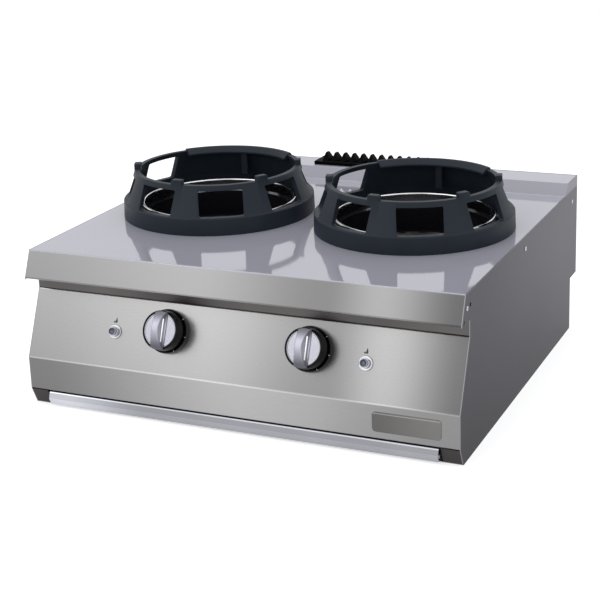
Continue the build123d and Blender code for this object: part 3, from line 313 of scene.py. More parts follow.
def finish(name, group, values, metallic, bump, distance=0.0001, drives=None, **sockets):
    """A material: one skin group drives colour, roughness and bump of a Principled shader.

    drives gives skin inputs, or Metallic, that change over the surface, as functions of the tree.
    """
    material = bpy.data.materials.new(name)
    material.use_nodes = True
    tree = material.node_tree
    shader = tree.nodes["Principled BSDF"]
    shader.inputs["Metallic"].default_value = metallic
    for label, value in sockets.items():
        shader.inputs[label.replace("_", " ")].default_value = value
    skin = tree.nodes.new("ShaderNodeGroup")
    skin.node_tree = group
    for label, value in values.items():
        skin.inputs[label].default_value = value
    for label, drive in (drives or {}).items():
        driven = shader if label == "Metallic" else skin
        tree.links.new(drive(tree), driven.inputs[label])
    tree.links.new(skin.outputs["Colour"], shader.inputs["Base Color"])
    tree.links.new(skin.outputs["Roughness"], shader.inputs["Roughness"])
    relief = tree.nodes.new("ShaderNodeBump")
    relief.inputs["Strength"].default_value = bump
    relief.inputs["Distance"].default_value = distance
    tree.links.new(skin.outputs["Height"], relief.inputs["Height"])
    tree.links.new(relief.outputs["Normal"], shader.inputs["Normal"])
    return material


def steel(name, colour, group=GRAIN_ALONG_X, grain=0.15, bands=0.3, roughness=0.22, bump=0.05,
          metallic=1.0, **more):
    """Brushed or polished metal sheet."""
    values = {"Steel": (*colour, 1), "Grain": grain, "Bands": bands, "Roughness": roughness}
    return finish(name, group, values, metallic, bump, **more)


def casting(name, colour, roughness=0.5, pits=900.0, clouding=0.5, metallic=0.0, bump=0.35, **more):
    """Cast iron, or the clouded skin of a plated pipe."""
    values = {"Iron": (*colour, 1), "Pit size": pits, "Clouding": clouding, "Roughness": roughness}
    return finish(name, CAST_SKIN, values, metallic, bump, 0.0004, **more)


def moulding(name, colour, roughness=0.2, stipple=2500.0, handling=0.3, metallic=0.0, bump=0.05,
             **more):
    """Plastic, enamel, chrome or ink: a skin with a fine stipple."""
    values = {
        "Skin": (*colour, 1), "Stipple": stipple, "Handling": handling, "Roughness": roughness,
    }
    return finish(name, MOULDED_SKIN, values, metallic, bump, **more)


# ---- painted light on each sheet: brushed steel's reflections of its surroundings painted as broad soft bands, with painted shade and highlights ------

HALF_WIDTH = 400 * MM
HALF_DEPTH = 365 * MM
NOSE_CREST_Y = FRONT_Y + 30 * MM
FOLD_Z = 90 * MM
PANEL_TOP_Z = 204 * MM
PLATE_CENTRE = (310 * MM, 60.5 * MM)
PLATE_HALF = (58.5 * MM, 17 * MM)
# painted reflections: light and dark bands across the front sheets, as (share, tone) stops
FRONT_REFLECTION_BANDS = ((0, 0.8), (0.4, 1.0), (0.71, 0.56), (0.83, 0.92), (1, 0.34))
# painted shade and painted reflection bands on the strip below the fold; painted highlight along
# each fold
STRIP_SHADE_BANDS = ((0, 0.5), (0.5, 1.12), (1, 0.66))
FOLD_HIGHLIGHT = (2 * MM, 0.8)                # half width of a fold's bright line, and its extra tone
# painted shade on the slope up to the rear deck
DECK_SLOPE_SHADE = (290 * MM, 11 * MM, 0.66)   # middle height, reach, tone
TOP_STEEL = (0.47, 0.47, 0.54, 1)
NOSE_STEEL = (0.262, 0.260, 0.264, 1)
TOP_AND_NOSE_ROUGHNESS = (0.065, 0.25)
TOP_AND_NOSE_METALLIC = (0.2, 1.0)
# painted highlight at the left end of the tray's rolled strip
ROLL_HIGHLIGHT_FADE_X = (-340 * MM, -170 * MM)
ROLL_HIGHLIGHT_TONES = (1.0, 0.58)
# painted shade across the side panel, and painted highlights on its front edges and the deck's cheek
SIDE_SHADE_BACKWARD = (0.6, 1.05)
SIDE_SHADE_UPWARD = (0.85, 1.2)
SIDE_CHEEK_HIGHLIGHT = 2.2
SIDE_EDGE_HIGHLIGHT = 1.45
# painted sheen across the plate, and a painted highlight line below its top edge
PLATE_SHEEN_TONES = (0.42, 0.58)
PLATE_HIGHLIGHT_LINE = (2.2 * MM, 1.1 * MM, 1.15)  # below the plate's top edge, reach, tone


def front_reflection_bands(tree):
    """Painted reflections: the broad light and dark bands that every brushed sheet facing the front
    shows.
    """
    return soft_bands(tree, "X", HALF_WIDTH, FRONT_REFLECTION_BANDS)


def fascia_painted_light(tree):
    """Painted reflection bands across the fascia, painted shade darkening the vertical strip below
    the fold, and painted highlights along the fold lines.
    """
    height = place_along(tree, "Z")
    on_fascia = between(tree, height, FOLD_Z - MM, FOLD_Z + 0.5 * MM)
    strip = soft_bands(tree, "X", HALF_WIDTH, STRIP_SHADE_BANDS)
    tone = blended(tree, strip, front_reflection_bands(tree), on_fascia)
    reach, gain = FOLD_HIGHLIGHT
    # painted highlights along the fold and the fascia's top edge
    fold_highlights = math_node(tree, "MAXIMUM", near(tree, height, FOLD_Z, reach),
                      near(tree, height, PANEL_TOP_Z, reach))
    return math_node(tree, "MULTIPLY", tone, math_node(tree, "MULTIPLY_ADD", fold_highlights, gain, 1.0))


def on_nose(tree):
    """1 on the worktop's front nose, 0 on its top."""
    return between(tree, place_along(tree, "Y"), NOSE_CREST_Y + 0.5 * MM, NOSE_CREST_Y - MM)


def worktop_painted_light(tree):
    """Painted reflection bands on the nose, a plain top, and painted shade dulling the slope up to
    the rear deck.
    """
    middle, reach, slope_tone = DECK_SLOPE_SHADE
    slope = near(tree, place_along(tree, "Z"), middle, reach)
    top = blended(tree, 1.0, slope_tone, math_node(tree, "GREATER_THAN", slope, 0.05))
    return blended(tree, top, front_reflection_bands(tree), on_nose(tree))


def roll_painted_highlight(tree):
    """The tray's rolled strip carries a painted highlight at its left end and is duller beyond it.
    """
    return between(tree, place_along(tree, "X"), *ROLL_HIGHLIGHT_FADE_X, *ROLL_HIGHLIGHT_TONES)


def side_painted_light(tree):
    """Painted shade makes the side duller low and to the front; painted highlights brighten its
    front edges and the deck's cheek.
    """
    height = place_along(tree, "Z")
    backward = between(tree, place_along(tree, "Y"), -HALF_DEPTH, HALF_DEPTH, *SIDE_SHADE_BACKWARD)
    upward = between(tree, height, 0, WORKTOP_Z, *SIDE_SHADE_UPWARD)
    face = math_node(tree, "MULTIPLY", backward, upward)
    on_cheek = between(tree, height, WORKTOP_Z - 2 * MM, WORKTOP_Z + 2 * MM)
    face = blended(tree, face, SIDE_CHEEK_HIGHLIGHT, on_cheek)
    facing_front = math_node(tree, "LESS_THAN", place_along(tree, "Y", "Normal"), -0.5)
    return blended(tree, face, SIDE_EDGE_HIGHLIGHT, facing_front)


def worktop_colour(tree):
    """Cool polished top and a warmer brushed nose."""
    mix = tree.nodes.new("ShaderNodeMix")
    mix.data_type = "RGBA"
    mix.inputs[6].default_value = TOP_STEEL
    mix.inputs[7].default_value = NOSE_STEEL
    tree.links.new(on_nose(tree), mix.inputs[0])
    return mix.outputs[2]


def plate_painted_light(tree):
    """A dull plate with a painted sheen a little brighter to its right, and a painted highlight
    inside its top edge.
    """
    below_edge, reach, line_tone = PLATE_HIGHLIGHT_LINE
    top = PLATE_CENTRE[1] + PLATE_HALF[1]
    line = near(tree, place_along(tree, "Z"), top - below_edge, reach)
    painted_sheen = between(tree, place_along(tree, "X"), PLATE_CENTRE[0] - PLATE_HALF[0],
                    PLATE_CENTRE[0] + PLATE_HALF[0], *PLATE_SHEEN_TONES)
    return blended(tree, painted_sheen, line_tone, line)


# The knob's grip, in its own plane: x to the right, y up the slope, z out of the panel.
GRIP_LEFT = -13 * MM
GRIP_RIGHT = 11 * MM
GRIP_WAIST_X = -2 * MM                   # where the hollow's edge is furthest left
GRIP_END_X = 10 * MM                     # and where it meets each end
GRIP_R = 33.2 * MM
# painted shade at the grip's two ends and in its hollow
GRIP_END_SHADE_FADE = (7 * MM, 29 * MM)       # distances from the middle over which the ends dull
GRIP_END_SHADE_TONE = 0.3
GRIP_HOLLOW_SHADE_FADE = (0.5 * MM, 1.6 * MM)
GRIP_HOLLOW_SHADE_TONE = 0.55

BUTTON_R = 6.4 * MM
# navy cap; the paler middle is a painted highlight, and the pale rim is partly painted light
BUTTON_COLOUR_AND_HIGHLIGHT_STOPS = (                         # share of the radius, colour
    (0.15, (0.15, 0.17, 0.24)), (0.5, (0.03, 0.036, 0.065)), (0.86, (0.035, 0.04, 0.075)),
    (0.95, (0.55, 0.57, 0.66)),
)


def grip_painted_shade(tree):
    """Painted shade: lighter in the middle of the grip, darker at its two ends and in its hollow."""
    across, along = place_along(tree, "X"), place_along(tree, "Y")
    distance = math_node(tree, "ABSOLUTE", along)
    ends = between(tree, distance, *GRIP_END_SHADE_FADE, 1.0, GRIP_END_SHADE_TONE)
    bow = (GRIP_END_X - GRIP_WAIST_X) / GRIP_R ** 2
    along_squared = math_node(tree, "MULTIPLY", along, along)
    edge = math_node(tree, "MULTIPLY_ADD", along_squared, bow, GRIP_WAIST_X)
    past_edge = between(tree, math_node(tree, "SUBTRACT", across, edge), *GRIP_HOLLOW_SHADE_FADE)
    before_lip = between(tree, across, GRIP_RIGHT - MM, GRIP_RIGHT - 2 * MM)
    hollow = math_node(tree, "MULTIPLY", past_edge, before_lip)
    return math_node(tree, "MULTIPLY", ends, blended(tree, 1.0, GRIP_HOLLOW_SHADE_TONE, hollow))


def disc_weave(tree):
    """Fine crossed texture of the knob's disc."""
    across = stretched_noise(tree, (900, 380, 1), 1)
    along = stretched_noise(tree, (380, 900, 1), 1)
    return math_node(tree, "MULTIPLY", centred(tree, across, 0.75), centred(tree, along, 0.75))


def button_colour_and_highlights(tree):
    """Dark blue cap with a painted highlight in its paler middle, and a pale rim that is partly its
    own colour and partly painted light on its shaded flank.
    """
    place = tree.nodes.new("ShaderNodeTexCoord")
    flat = tree.nodes.new("ShaderNodeVectorMath")
    flat.operation = "MULTIPLY"
    flat.inputs[1].default_value = (1, 1, 0)
    radius = tree.nodes.new("ShaderNodeVectorMath")
    radius.operation = "LENGTH"
    tree.links.new(place.outputs["Object"], flat.inputs[0])
    tree.links.new(flat.outputs[0], radius.inputs[0])
    return colour_ramp(
        tree, math_node(tree, "DIVIDE", radius.outputs["Value"], BUTTON_R), BUTTON_COLOUR_AND_HIGHLIGHT_STOPS,
    )


# These four take the place of the colour, tone, roughness and metalness given to steel().
WORKTOP = {
    "Steel": worktop_colour, "Tone": worktop_painted_light,
    "Roughness": lambda tree: blended(tree, *TOP_AND_NOSE_ROUGHNESS, on_nose(tree)),
    "Metallic": lambda tree: blended(tree, *TOP_AND_NOSE_METALLIC, on_nose(tree)),
}
FINISHES = {
    "worktop_steel": steel("polished_worktop", TOP_STEEL[:3], GRAIN_ALONG_Y, 0.03, 0.1, bump=0.01,
                           drives=WORKTOP),
    "panel_steel": steel("brushed_panel", (0.352, 0.347, 0.350), grain=0.04, bands=0.1,
                         roughness=0.28, bump=0.003, drives={"Tone": fascia_painted_light}),
    # The side gets a darker copy of the panel steel with a greyed specular tint: painted shade.
    "side_steel": steel("satin_side", (0.155, 0.153, 0.165), GRAIN_ALONG_Y, 0.06, 0.2, 0.34, 0.02,
                        drives={"Tone": side_painted_light}, Specular_Tint=(0.55, 0.55, 0.56, 1)),
    "cabinet_steel": steel("plain_sheet", (0.42, 0.42, 0.43), grain=0.1, bands=0.2, roughness=0.4),
    "shadow_steel": steel("shadowed_sheet", (0.095, 0.09, 0.088), grain=0.1, bands=1.1,
                          roughness=0.4),
    "tray_steel": steel("rolled_bright_strip", (0.57, 0.58, 0.63), grain=0.06, bands=0.2,
                        roughness=0.16, drives={"Tone": roll_painted_highlight}),
    "collar_steel": steel("polished_collar", (0.62, 0.62, 0.64), grain=0.05, bands=0.1,
                          roughness=0.12),
    "well_enamel": moulding("black_enamel", (0.008, 0.008, 0.010), 0.14, 400.0, 0.4,
                            Specular_IOR_Level=0.3),
    "ring_iron": casting("slate_casting", (0.015, 0.021, 0.030), 0.5, Specular_IOR_Level=0.18),
    "burner_iron": casting("plain_casting", (0.03, 0.029, 0.028), 0.6),
    "grille_iron": casting("black_casting", (0.003, 0.003, 0.004), 0.5, bump=0.25,
                           Specular_IOR_Level=0.02),
    "crown_iron": casting("heat_blackened_casting", (0.008, 0.008, 0.009), 0.5, bump=0.2,
                          Specular_IOR_Level=0.2),
    "brass": steel("turned_brass", (0.55, 0.40, 0.17), grain=0.15, bands=0.2, roughness=0.25),
    "pipe_steel": casting("zinc_pipe", (0.45, 0.46, 0.47), 0.4, 250.0, 0.6, 1.0, 0.1),
    "feed_tube": steel("drawn_tube", (0.58, 0.58, 0.60), grain=0.1, bands=0.1, roughness=0.3),
    "pilot_steel": steel("heat_tinted_steel", (0.35, 0.31, 0.27), grain=0.3, bands=0.9,
                         roughness=0.35),
    "knob_black": moulding("knob_black", (0.002, 0.002, 0.0025), 0.12, Specular_IOR_Level=0.1),
    "knob_silver": moulding("knob_silver", (0.38, 0.385, 0.43), 0.36, 1100.0, 0.1, 1.0, 0.5,
                            drives={"Weave and shade": disc_weave}),
    "bezel_black": moulding("bezel_black", (0.003, 0.003, 0.0035), 0.12, Specular_IOR_Level=0.2),
    "steel_shaft": steel("ground_shaft", (0.5, 0.5, 0.5), grain=0.2, roughness=0.25),
    "chrome": moulding("chrome", (0.44, 0.44, 0.47), 0.14, 900.0, 0.15, 1.0, 0.01),
    "button_dark": moulding("dark_button", (0.025, 0.032, 0.065), 0.2,
                            drives={"Skin": button_colour_and_highlights}),
    "igniter_plastic": moulding("igniter_plastic", (0.02, 0.02, 0.02), 0.5, 1500.0, 0.3, 0.0, 0.2),
    "plate_grey": steel("satin_plate", (0.30, 0.29, 0.28), grain=0.1, bands=0.15, roughness=0.38,
                        drives={"Tone": plate_painted_light}),
    "screw_steel": moulding("screw_steel", (0.5, 0.5, 0.52), 0.2, 900.0, 0.2, 1.0, 0.02),
}
# the grip's finish carries painted shade at its ends and in its hollow
KNOB_GRIP = moulding("satin_grip", (0.35, 0.355, 0.41), 0.3, 2500.0, 0.1, 1.0, 0.08,
                     drives={"Weave and shade": grip_painted_shade})
KNOB_POINTER = moulding("bright_pointer", (0.62, 0.62, 0.66), 0.22, 2500.0, 0.05, 1.0, 0.02)
# painted shade: the sill plates get a much darker copy of the sheet steel
SILL_SHADE_STEEL = steel("sill_sheet", (0.05, 0.047, 0.046), grain=0.1, bands=0.4, roughness=0.45)

for part in frame["record"]["subparts"]:
    carried = nodes[part["node"]]
    wanted = SILL_SHADE_STEEL if part["node"] == "sill_plates" else FINISHES[part["material_slot"]]
    if not carried.data.materials:
        carried.data.materials.append(wanted)
    for index in range(len(carried.data.materials)):
        carried.data.materials[index] = wanted


# ---- cast wok rings -----------------------------------------------------------------------------
# Radii and heights above the worktop. Angles run anticlockwise from the front, seen from above.

STATION_X = 195 * MM
RING_FOOT_R = 180 * MM
RING_BAND = (179 * MM, 30 * MM)
RING_SHOULDER = (174.5 * MM, 34 * MM)
RING_RIM = (155 * MM, 86 * MM)
RING_WALL = 9.5 * MM
RING_BORE = (168 * MM, 26 * MM)
RING_LEDGE_Z = 32 * MM
RING_BACK_Z = 89 * MM
RING_BACK_HALF = radians(45)
RING_LIP = 7 * MM
RING_LIP_HEIGHT = 12.5 * MM
RING_WINDOW_ANGLES = (-112.5, -67.5, -22.5, 22.5, 67.5, 112.5)
RING_WINDOW = (80 * MM, 32 * MM, 77 * MM)       # width, sill, head
RING_WINDOW_CORNER = 3 * MM
RING_LUG_ANGLES = (-74, -7.5, 52.5, 106)
RING_LUG = (21 * MM, 80 * MM, 95 * MM)         # width, foot, top
RING_LUG_PROUD = 1 * MM
RING_LUG_CORNER = 2.2 * MM
RING_RIB = (12 * MM, 34 * MM, 78.5 * MM)       # width, foot, top
RING_RIB_PROUD = 4 * MM
RING_RIB_CORNER = 2 * MM
RING_STEPS = 192
RING_EDGE = 1.1 * MM                           # roundness of the edges sharper than the angle
RING_EDGE_ANGLE = radians(28)
RING_SMOOTH_DEGREES = 40
RING_TURN = {"left": radians(6), "right": radians(1)}


def ring_wall_r(height):
    """Outer radius of the tapered wall at a height."""
    share = (height - RING_SHOULDER[1]) / (RING_RIM[1] - RING_SHOULDER[1])
    return RING_SHOULDER[0] + share * (RING_RIM[0] - RING_SHOULDER[0])


def ring_section(raised):
    """Closed (radius, height) section, with as many points for the rim as for the raised back."""
    inner_rim = RING_RIM[0] - RING_WALL
    section = [(RING_FOOT_R, 0), RING_BAND, RING_SHOULDER]
    if raised:
        lip_foot = RING_BACK_Z - RING_LIP_HEIGHT
        back_r = ring_wall_r(RING_BACK_Z)
        section += [
            (back_r, RING_BACK_Z), (back_r - 0.55 * RING_WALL, RING_BACK_Z),
            (inner_rim - RING_LIP, lip_foot + 0.25 * RING_LIP_HEIGHT),
            (inner_rim - RING_LIP, lip_foot), (ring_wall_r(lip_foot) - RING_WALL, lip_foot),
        ]
    else:
        lip_foot = RING_RIM[1] - 4 * MM
        section += [
            RING_RIM, (RING_RIM[0] - 0.4 * RING_WALL, RING_RIM[1]),
            (RING_RIM[0] - 0.7 * RING_WALL, RING_RIM[1]),
            (inner_rim, RING_RIM[1]), (ring_wall_r(lip_foot) - RING_WALL, lip_foot),
        ]
    ledge_r = ring_wall_r(RING_LEDGE_Z) - RING_WALL
    return section + [(ledge_r, RING_LEDGE_Z), RING_BORE, (RING_BORE[0], 0)]


def ring_stations():
    """(angle, raised) round the ring, with a sharp step at each end of the raised back."""
    step = 2 * pi / RING_STEPS
    angles = [index * step for index in range(RING_STEPS)]
    stations = [(angle, abs(pi - angle) < RING_BACK_HALF) for angle in angles]
    for end in (pi - RING_BACK_HALF, pi + RING_BACK_HALF):
        stations = [entry for entry in stations if abs(entry[0] - end) > 0.4 * step]
        outward = -1 if end < pi else 1
        stations += [(end, True), (end + outward * radians(0.25), False)]
    return sorted(stations)


def ring_body():
    """The ring's wall without windows or lugs, as one closed band."""
    band = bmesh.new()
    loops = []
    for angle, raised in ring_stations():
        across = Vector((sin(angle), -cos(angle), 0))
        corners = [across * r + Vector((0, 0, z)) for r, z in ring_section(raised)]
        loops.append([band.verts.new(corner) for corner in corners])
    for index, loop in enumerate(loops):
        after = loops[(index + 1) % len(loops)]
        for point in range(len(loop)):
            far = (point + 1) % len(loop)
            band.faces.new((loop[point], after[point], after[far], loop[far]))
    return mesh_from("ring_body", band)


def rounded_block(tool, angle, width, inner, outer, low, high, corner):
    """Add a radial block to a mesh: its face to the ring's middle is a rounded rectangle."""
    outline = []
    middle, half_height = (low + high) / 2, (high - low) / 2
    for turn, (side, level) in enumerate(((1, 1), (-1, 1), (-1, -1), (1, -1))):
        centre = (side * (width / 2 - corner), middle + level * (half_height - corner))
        for part in range(5):
            bend = pi / 2 * (turn + part / 4)
            outline.append((centre[0] + corner * cos(bend), centre[1] + corner * sin(bend)))
    outward = Vector((sin(angle), -cos(angle), 0))
    sideways = Vector((cos(angle), sin(angle), 0))
    axes = Matrix((sideways, Vector((0, 0, 1)), outward)).transposed().to_4x4()
    plate_from_outline(tool, outline, outer - inner, Matrix.Translation(outward * inner) @ axes)


def applied(mesh_data, *modifiers):
    """Mesh data with modifiers worked in, each a (kind, settings) pair."""
    piece = bpy.data.objects.new("work", mesh_data)
    bpy.context.scene.collection.objects.link(piece)
    for kind, settings in modifiers:
        modifier = piece.modifiers.new(kind, kind)
        for label, value in settings.items():
            setattr(modifier, label, value)
    bpy.context.view_layer.update()
    worked = piece.evaluated_get(bpy.context.evaluated_depsgraph_get())
    shaped = bpy.data.meshes.new_from_object(worked)
    bpy.data.objects.remove(piece)
    return shaped


def tool_object(name, mesh_builder):
    """A mesh in the scene for the boolean modifiers to work with."""
    tool = bpy.data.objects.new(name, mesh_from(name, mesh_builder))
    bpy.context.scene.collection.objects.link(tool)
    return tool


def smooth_but_for_edges(mesh_data, degrees):
    """Smooth shading, broken where faces meet at more than an angle."""
    mesh_data.shade_smooth()
    mesh_data.set_sharp_from_angle(angle=radians(degrees))


def cast_ring_mesh():
    """The ring with windows cut, lugs and rear rib added and its edges rounded."""
    inner_rim = RING_RIM[0] - RING_WALL
    windows, lugs = bmesh.new(), bmesh.new()
    for degrees in RING_WINDOW_ANGLES:
        rounded_block(windows, radians(degrees), RING_WINDOW[0], inner_rim - 2 * RING_WALL,
                      RING_FOOT_R + MM, *RING_WINDOW[1:], RING_WINDOW_CORNER)
    for degrees in RING_LUG_ANGLES:
        rounded_block(lugs, radians(degrees), RING_LUG[0], inner_rim - RING_LUG_PROUD,
                      RING_RIM[0] + RING_LUG_PROUD, *RING_LUG[1:], RING_LUG_CORNER)
    rounded_block(lugs, pi, RING_RIB[0], inner_rim - RING_RIB_PROUD, inner_rim + RING_WALL / 2,
                  *RING_RIB[1:], RING_RIB_CORNER)
    cutter, adder = tool_object("ring_windows", windows), tool_object("ring_lugs", lugs)
    ring = applied(
        ring_body(),
        ("BOOLEAN", {"operation": "UNION", "object": adder, "solver": "EXACT"}),
        ("BOOLEAN", {"operation": "DIFFERENCE", "object": cutter, "solver": "EXACT"}),
        ("BEVEL", {"width": RING_EDGE, "segments": 3, "limit_method": "ANGLE",
                   "angle_limit": RING_EDGE_ANGLE, "use_clamp_overlap": True}),
    )
    for tool in (cutter, adder):
        bpy.data.objects.remove(tool)
    smooth_but_for_edges(ring, RING_SMOOTH_DEGREES)
    return ring


def wok_rings():
    """Both cast rings, each turned a little in its seat, in place of the plain ones."""
    shape = cast_ring_mesh()
    for side, x in zip(SIDES, (-STATION_X, STATION_X)):
        ring = shape.copy()
        turn = Matrix.Rotation(RING_TURN[side], 4, "Z")
        ring.transform(Matrix.Translation((x, 0, WORKTOP_Z)) @ turn)
        piece = new_piece(f"{side}_cast_ring", ring, FINISHES["ring_iron"], f"{side}_ring")
        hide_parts(f"{side}_wok_ring")


wok_rings()


# ---- knob caps and igniter buttons --------------------------------------------------------------
# Built in the panel's own plane at the knob or button: x to the right, y up the slope, z out of it.
# The two turned sections are (radius, height) in millimetres.

DISC_SECTION = (
    (0, 34), (29.6, 34), (29.6, 35.3), (29.3, 35.75), (28.7, 35.95), (28.1, 35.75), (27.7, 35.2),
    (0, 35.2),
)
BUTTON_SECTION = (
    (0, -12), (6.4, -12), (6.4, 11.7), (6.25, 12.15), (5.9, 12.45), (5.5, 12.4), (5.0, 12.0),
    (3.6, 11.65), (1.8, 11.45), (0, 11.4),
)
GRIP_CREST = 43.4 * MM
GRIP_FALL = 6.4 * MM             # from the crest's middle down to each end
GRIP_FLOOR = 36.9 * MM           # bottom of the hollow
GRIP_SEAT = (35.0 * MM, 36.05 * MM)      # on the disc, and over the skirt's rim
DISC_EDGE_R = 29.4 * MM
GRIP_ROWS = 72
GRIP_COLUMNS = 14                # each side of the hollow's edge
GRIP_ROUND = 1.4 * MM
GRIP_LIP = 0.7 * MM
GRIP_LIP_START = 0.8             # share of the hollow's width
GRIP_TOE_START = 0.94            # share of the grip's length
GRIP_TOE = 0.9 * MM              # how much lower the very ends are
GRIP_HOLLOW_POWER = 2.4          # how steeply the hollow falls from the crest
POINTER = (5.6 * MM, 1.5 * MM, 20 * MM)  # x, half width, half length
POINTER_HEIGHTS = (35.5 * MM, 39.3 * MM)
POINTER_EDGE = 0.8 * MM
CAP_SMOOTH_DEGREES = 32
BUTTON_STEPS = 64


def turned_mesh(name, section, steps=96):
    """Spin a closed section about the panel's normal. A point on the axis stays one vertex."""
    spun = bmesh.new()
    loops = []
    for radius, height in section:
        turns = [2 * pi * index / steps for index in range(steps if radius else 1)]
        places = [(radius * MM * cos(turn), radius * MM * sin(turn), height * MM) for turn in turns]
        loops.append([spun.verts.new(place) for place in places])
    for low, high in zip(loops, loops[1:]):
        for index in range(steps):
            after = (index + 1) % steps
            corners = [low[index % len(low)], low[after % len(low)],
                       high[after % len(high)], high[index % len(high)]]
            spun.faces.new(list(dict.fromkeys(corners)))
    return mesh_from(name, spun)


def grip_row(share):
    """Columns (x, top height) across the grip, at a share of the way from its middle to an end."""
    toe = max(0.0, (abs(share) - GRIP_TOE_START) / (1 - GRIP_TOE_START))
    crest = GRIP_CREST - GRIP_FALL * share ** 2 - GRIP_TOE * toe ** 2
    edge = GRIP_WAIST_X + (GRIP_END_X - GRIP_WAIST_X) * share ** 2
    row = []
    for column in range(GRIP_COLUMNS + 1):
        x = GRIP_LEFT + (edge - GRIP_LEFT) * (column / GRIP_COLUMNS) ** 1.5
        short = max(0.0, GRIP_ROUND - (x - GRIP_LEFT))
        row.append((x, crest - GRIP_ROUND + sqrt(GRIP_ROUND ** 2 - short ** 2)))
    floor = min(GRIP_FLOOR, crest - 0.2 * MM)
    for column in range(1, GRIP_COLUMNS + 1):
        across = column / GRIP_COLUMNS
        past_start = max(0.0, (across - GRIP_LIP_START) / (1 - GRIP_LIP_START))
        lip = GRIP_LIP * sin(pi * past_start)
        height = floor + (crest - floor) * (1 - across) ** GRIP_HOLLOW_POWER + lip
        row.append((edge + (GRIP_RIGHT - edge) * across, min(height, crest)))
    return row


def grip_mesh():
    """The bar across the knob's face: a ridge arched along its length, hollow on its right."""
    bar = bmesh.new()
    tops, seats = [], []
    for index in range(GRIP_ROWS + 1):
        share = 2 * index / GRIP_ROWS - 1
        top_row, seat_row = [], []
        for x, height in grip_row(share):
            y = share * sqrt(GRIP_R ** 2 - x ** 2)
            top_row.append(bar.verts.new((x, y, height)))
            seat = GRIP_SEAT[0] if hypot(x, y) < DISC_EDGE_R else GRIP_SEAT[1]
            seat_row.append(bar.verts.new((x, y, seat)))
        tops.append(top_row)
        seats.append(seat_row)
    last = len(tops[0]) - 1
    for grid in (tops, seats):
        for low, high in zip(grid, grid[1:]):
            for column in range(last):
                bar.faces.new((low[column], low[column + 1], high[column + 1], high[column]))
    for index in range(GRIP_ROWS):
        for column in (0, last):
            bar.faces.new((tops[index][column], tops[index + 1][column],
                           seats[index + 1][column], seats[index][column]))
    for row in (0, GRIP_ROWS):
        for column in range(last):
            bar.faces.new((tops[row][column], tops[row][column + 1],
                           seats[row][column + 1], seats[row][column]))
    return mesh_from("knob_grip", bar)


def pointer_mesh():
    """Raised rounded line in the grip's hollow."""
    x, half_width, half_length = POINTER
    outline = []
    for end in (1, -1):
        for part in range(9):
            angle = pi * part / 8 + (0 if end > 0 else pi)
            outline.append((x + half_width * cos(angle),
                            end * (half_length - half_width) + half_width * sin(angle)))
    line = bmesh.new()
    low, high = POINTER_HEIGHTS
    plate_from_outline(line, outline, high - low, Matrix.Translation((0, 0, low)))
    return applied(mesh_from("knob_pointer", line),
                   ("BEVEL", {"width": POINTER_EDGE, "segments": 3, "limit_method": "ANGLE"}))


def on_panel(name, mesh_data, side, x, up_panel, finish, body, slot):
    """A piece with its own coordinates, set on the panel at a knob or button."""
    piece = bpy.data.objects.new(f"{side}_{name}", mesh_data)
    piece.matrix_world = panel_place(x, up_panel, 0)
    bpy.context.scene.collection.objects.link(piece)
    if not mesh_data.materials:
        mesh_data.materials.append(finish)
    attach(piece, f"{side}_{body}")
    return piece


def knob_caps_and_buttons():
    """Disc, grip and pointer of each knob, and each button, in place of the plain ones."""
    disc, grip, pointer = turned_mesh("knob_disc", DISC_SECTION), grip_mesh(), pointer_mesh()
    button = turned_mesh("igniter_button", BUTTON_SECTION, BUTTON_STEPS)
    for mesh_data in (disc, grip, pointer, button):
        smooth_but_for_edges(mesh_data, CAP_SMOOTH_DEGREES)
    for side, way in zip(SIDES, (-1, 1)):
        x = KNOB_MIDDLE + way * KNOB_X
        at_knob = (side, x, KNOB_UP_PANEL)
        face = on_panel("knob_disc", disc, *at_knob, FINISHES["knob_silver"], "knob", "knob_silver")
        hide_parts(f"{side}_knob_cap")
        on_panel("knob_grip", grip, *at_knob, KNOB_GRIP, "knob", "knob_silver")
        on_panel("knob_pointer", pointer, *at_knob, KNOB_POINTER, "knob", "knob_silver")
        cap = on_panel("button_cap", button, side, way * BUTTON_X, BUTTON_UP_PANEL,
                       FINISHES["button_dark"], "button", "button_dark")
        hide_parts(f"{side}_igniter_button")


knob_caps_and_buttons()


# ---- igniter symbols and dial marks -------------------------------------------------------------

SYMBOL_UP_PANEL = 83.5 * MM
SYMBOL_HEIGHT = 10.4 * MM
SYMBOL_THICKNESS = 0.12 * MM
FLAME_WIDTH_SHARE = 0.28               # of its height, to each side of its middle line
SPARK_DOT = (-3.6 * MM, -3.6 * MM, 1.65 * MM)     # x and height from the flame's middle, radius
DIAL_MARK_ANGLES = (40, -10, -60)      # from the right, seen from the front
DIAL_MARK_SIZE = (2.2 * MM, 1.0 * MM)
DIAL_MARK_R = 36.6 * MM
DIAL_MARK_OUT = 11.0 * MM

ink = moulding("printed_ink", (0.03, 0.03, 0.035), 0.5, 3000.0, 0.2)
light_ink = moulding("printed_light_ink", (0.75, 0.75, 0.75), 0.5, 3000.0, 0.2)


def flame_outline(height, steps=32):
    """A teardrop flame with its tip up, from one polar curve."""
    outline = []
    for index in range(steps):
        angle = 2 * pi * index / steps
        across = -FLAME_WIDTH_SHARE * height * sin(angle) * sin(angle / 2) ** 2
        outline.append((across, height / 2 * cos(angle)))
    return outline


def dot_outline(x, y, radius, steps=20):
    """A round spark dot."""
    turns = [2 * pi * index / steps for index in range(steps)]
    return [(x + radius * cos(turn), y + radius * sin(turn)) for turn in turns]


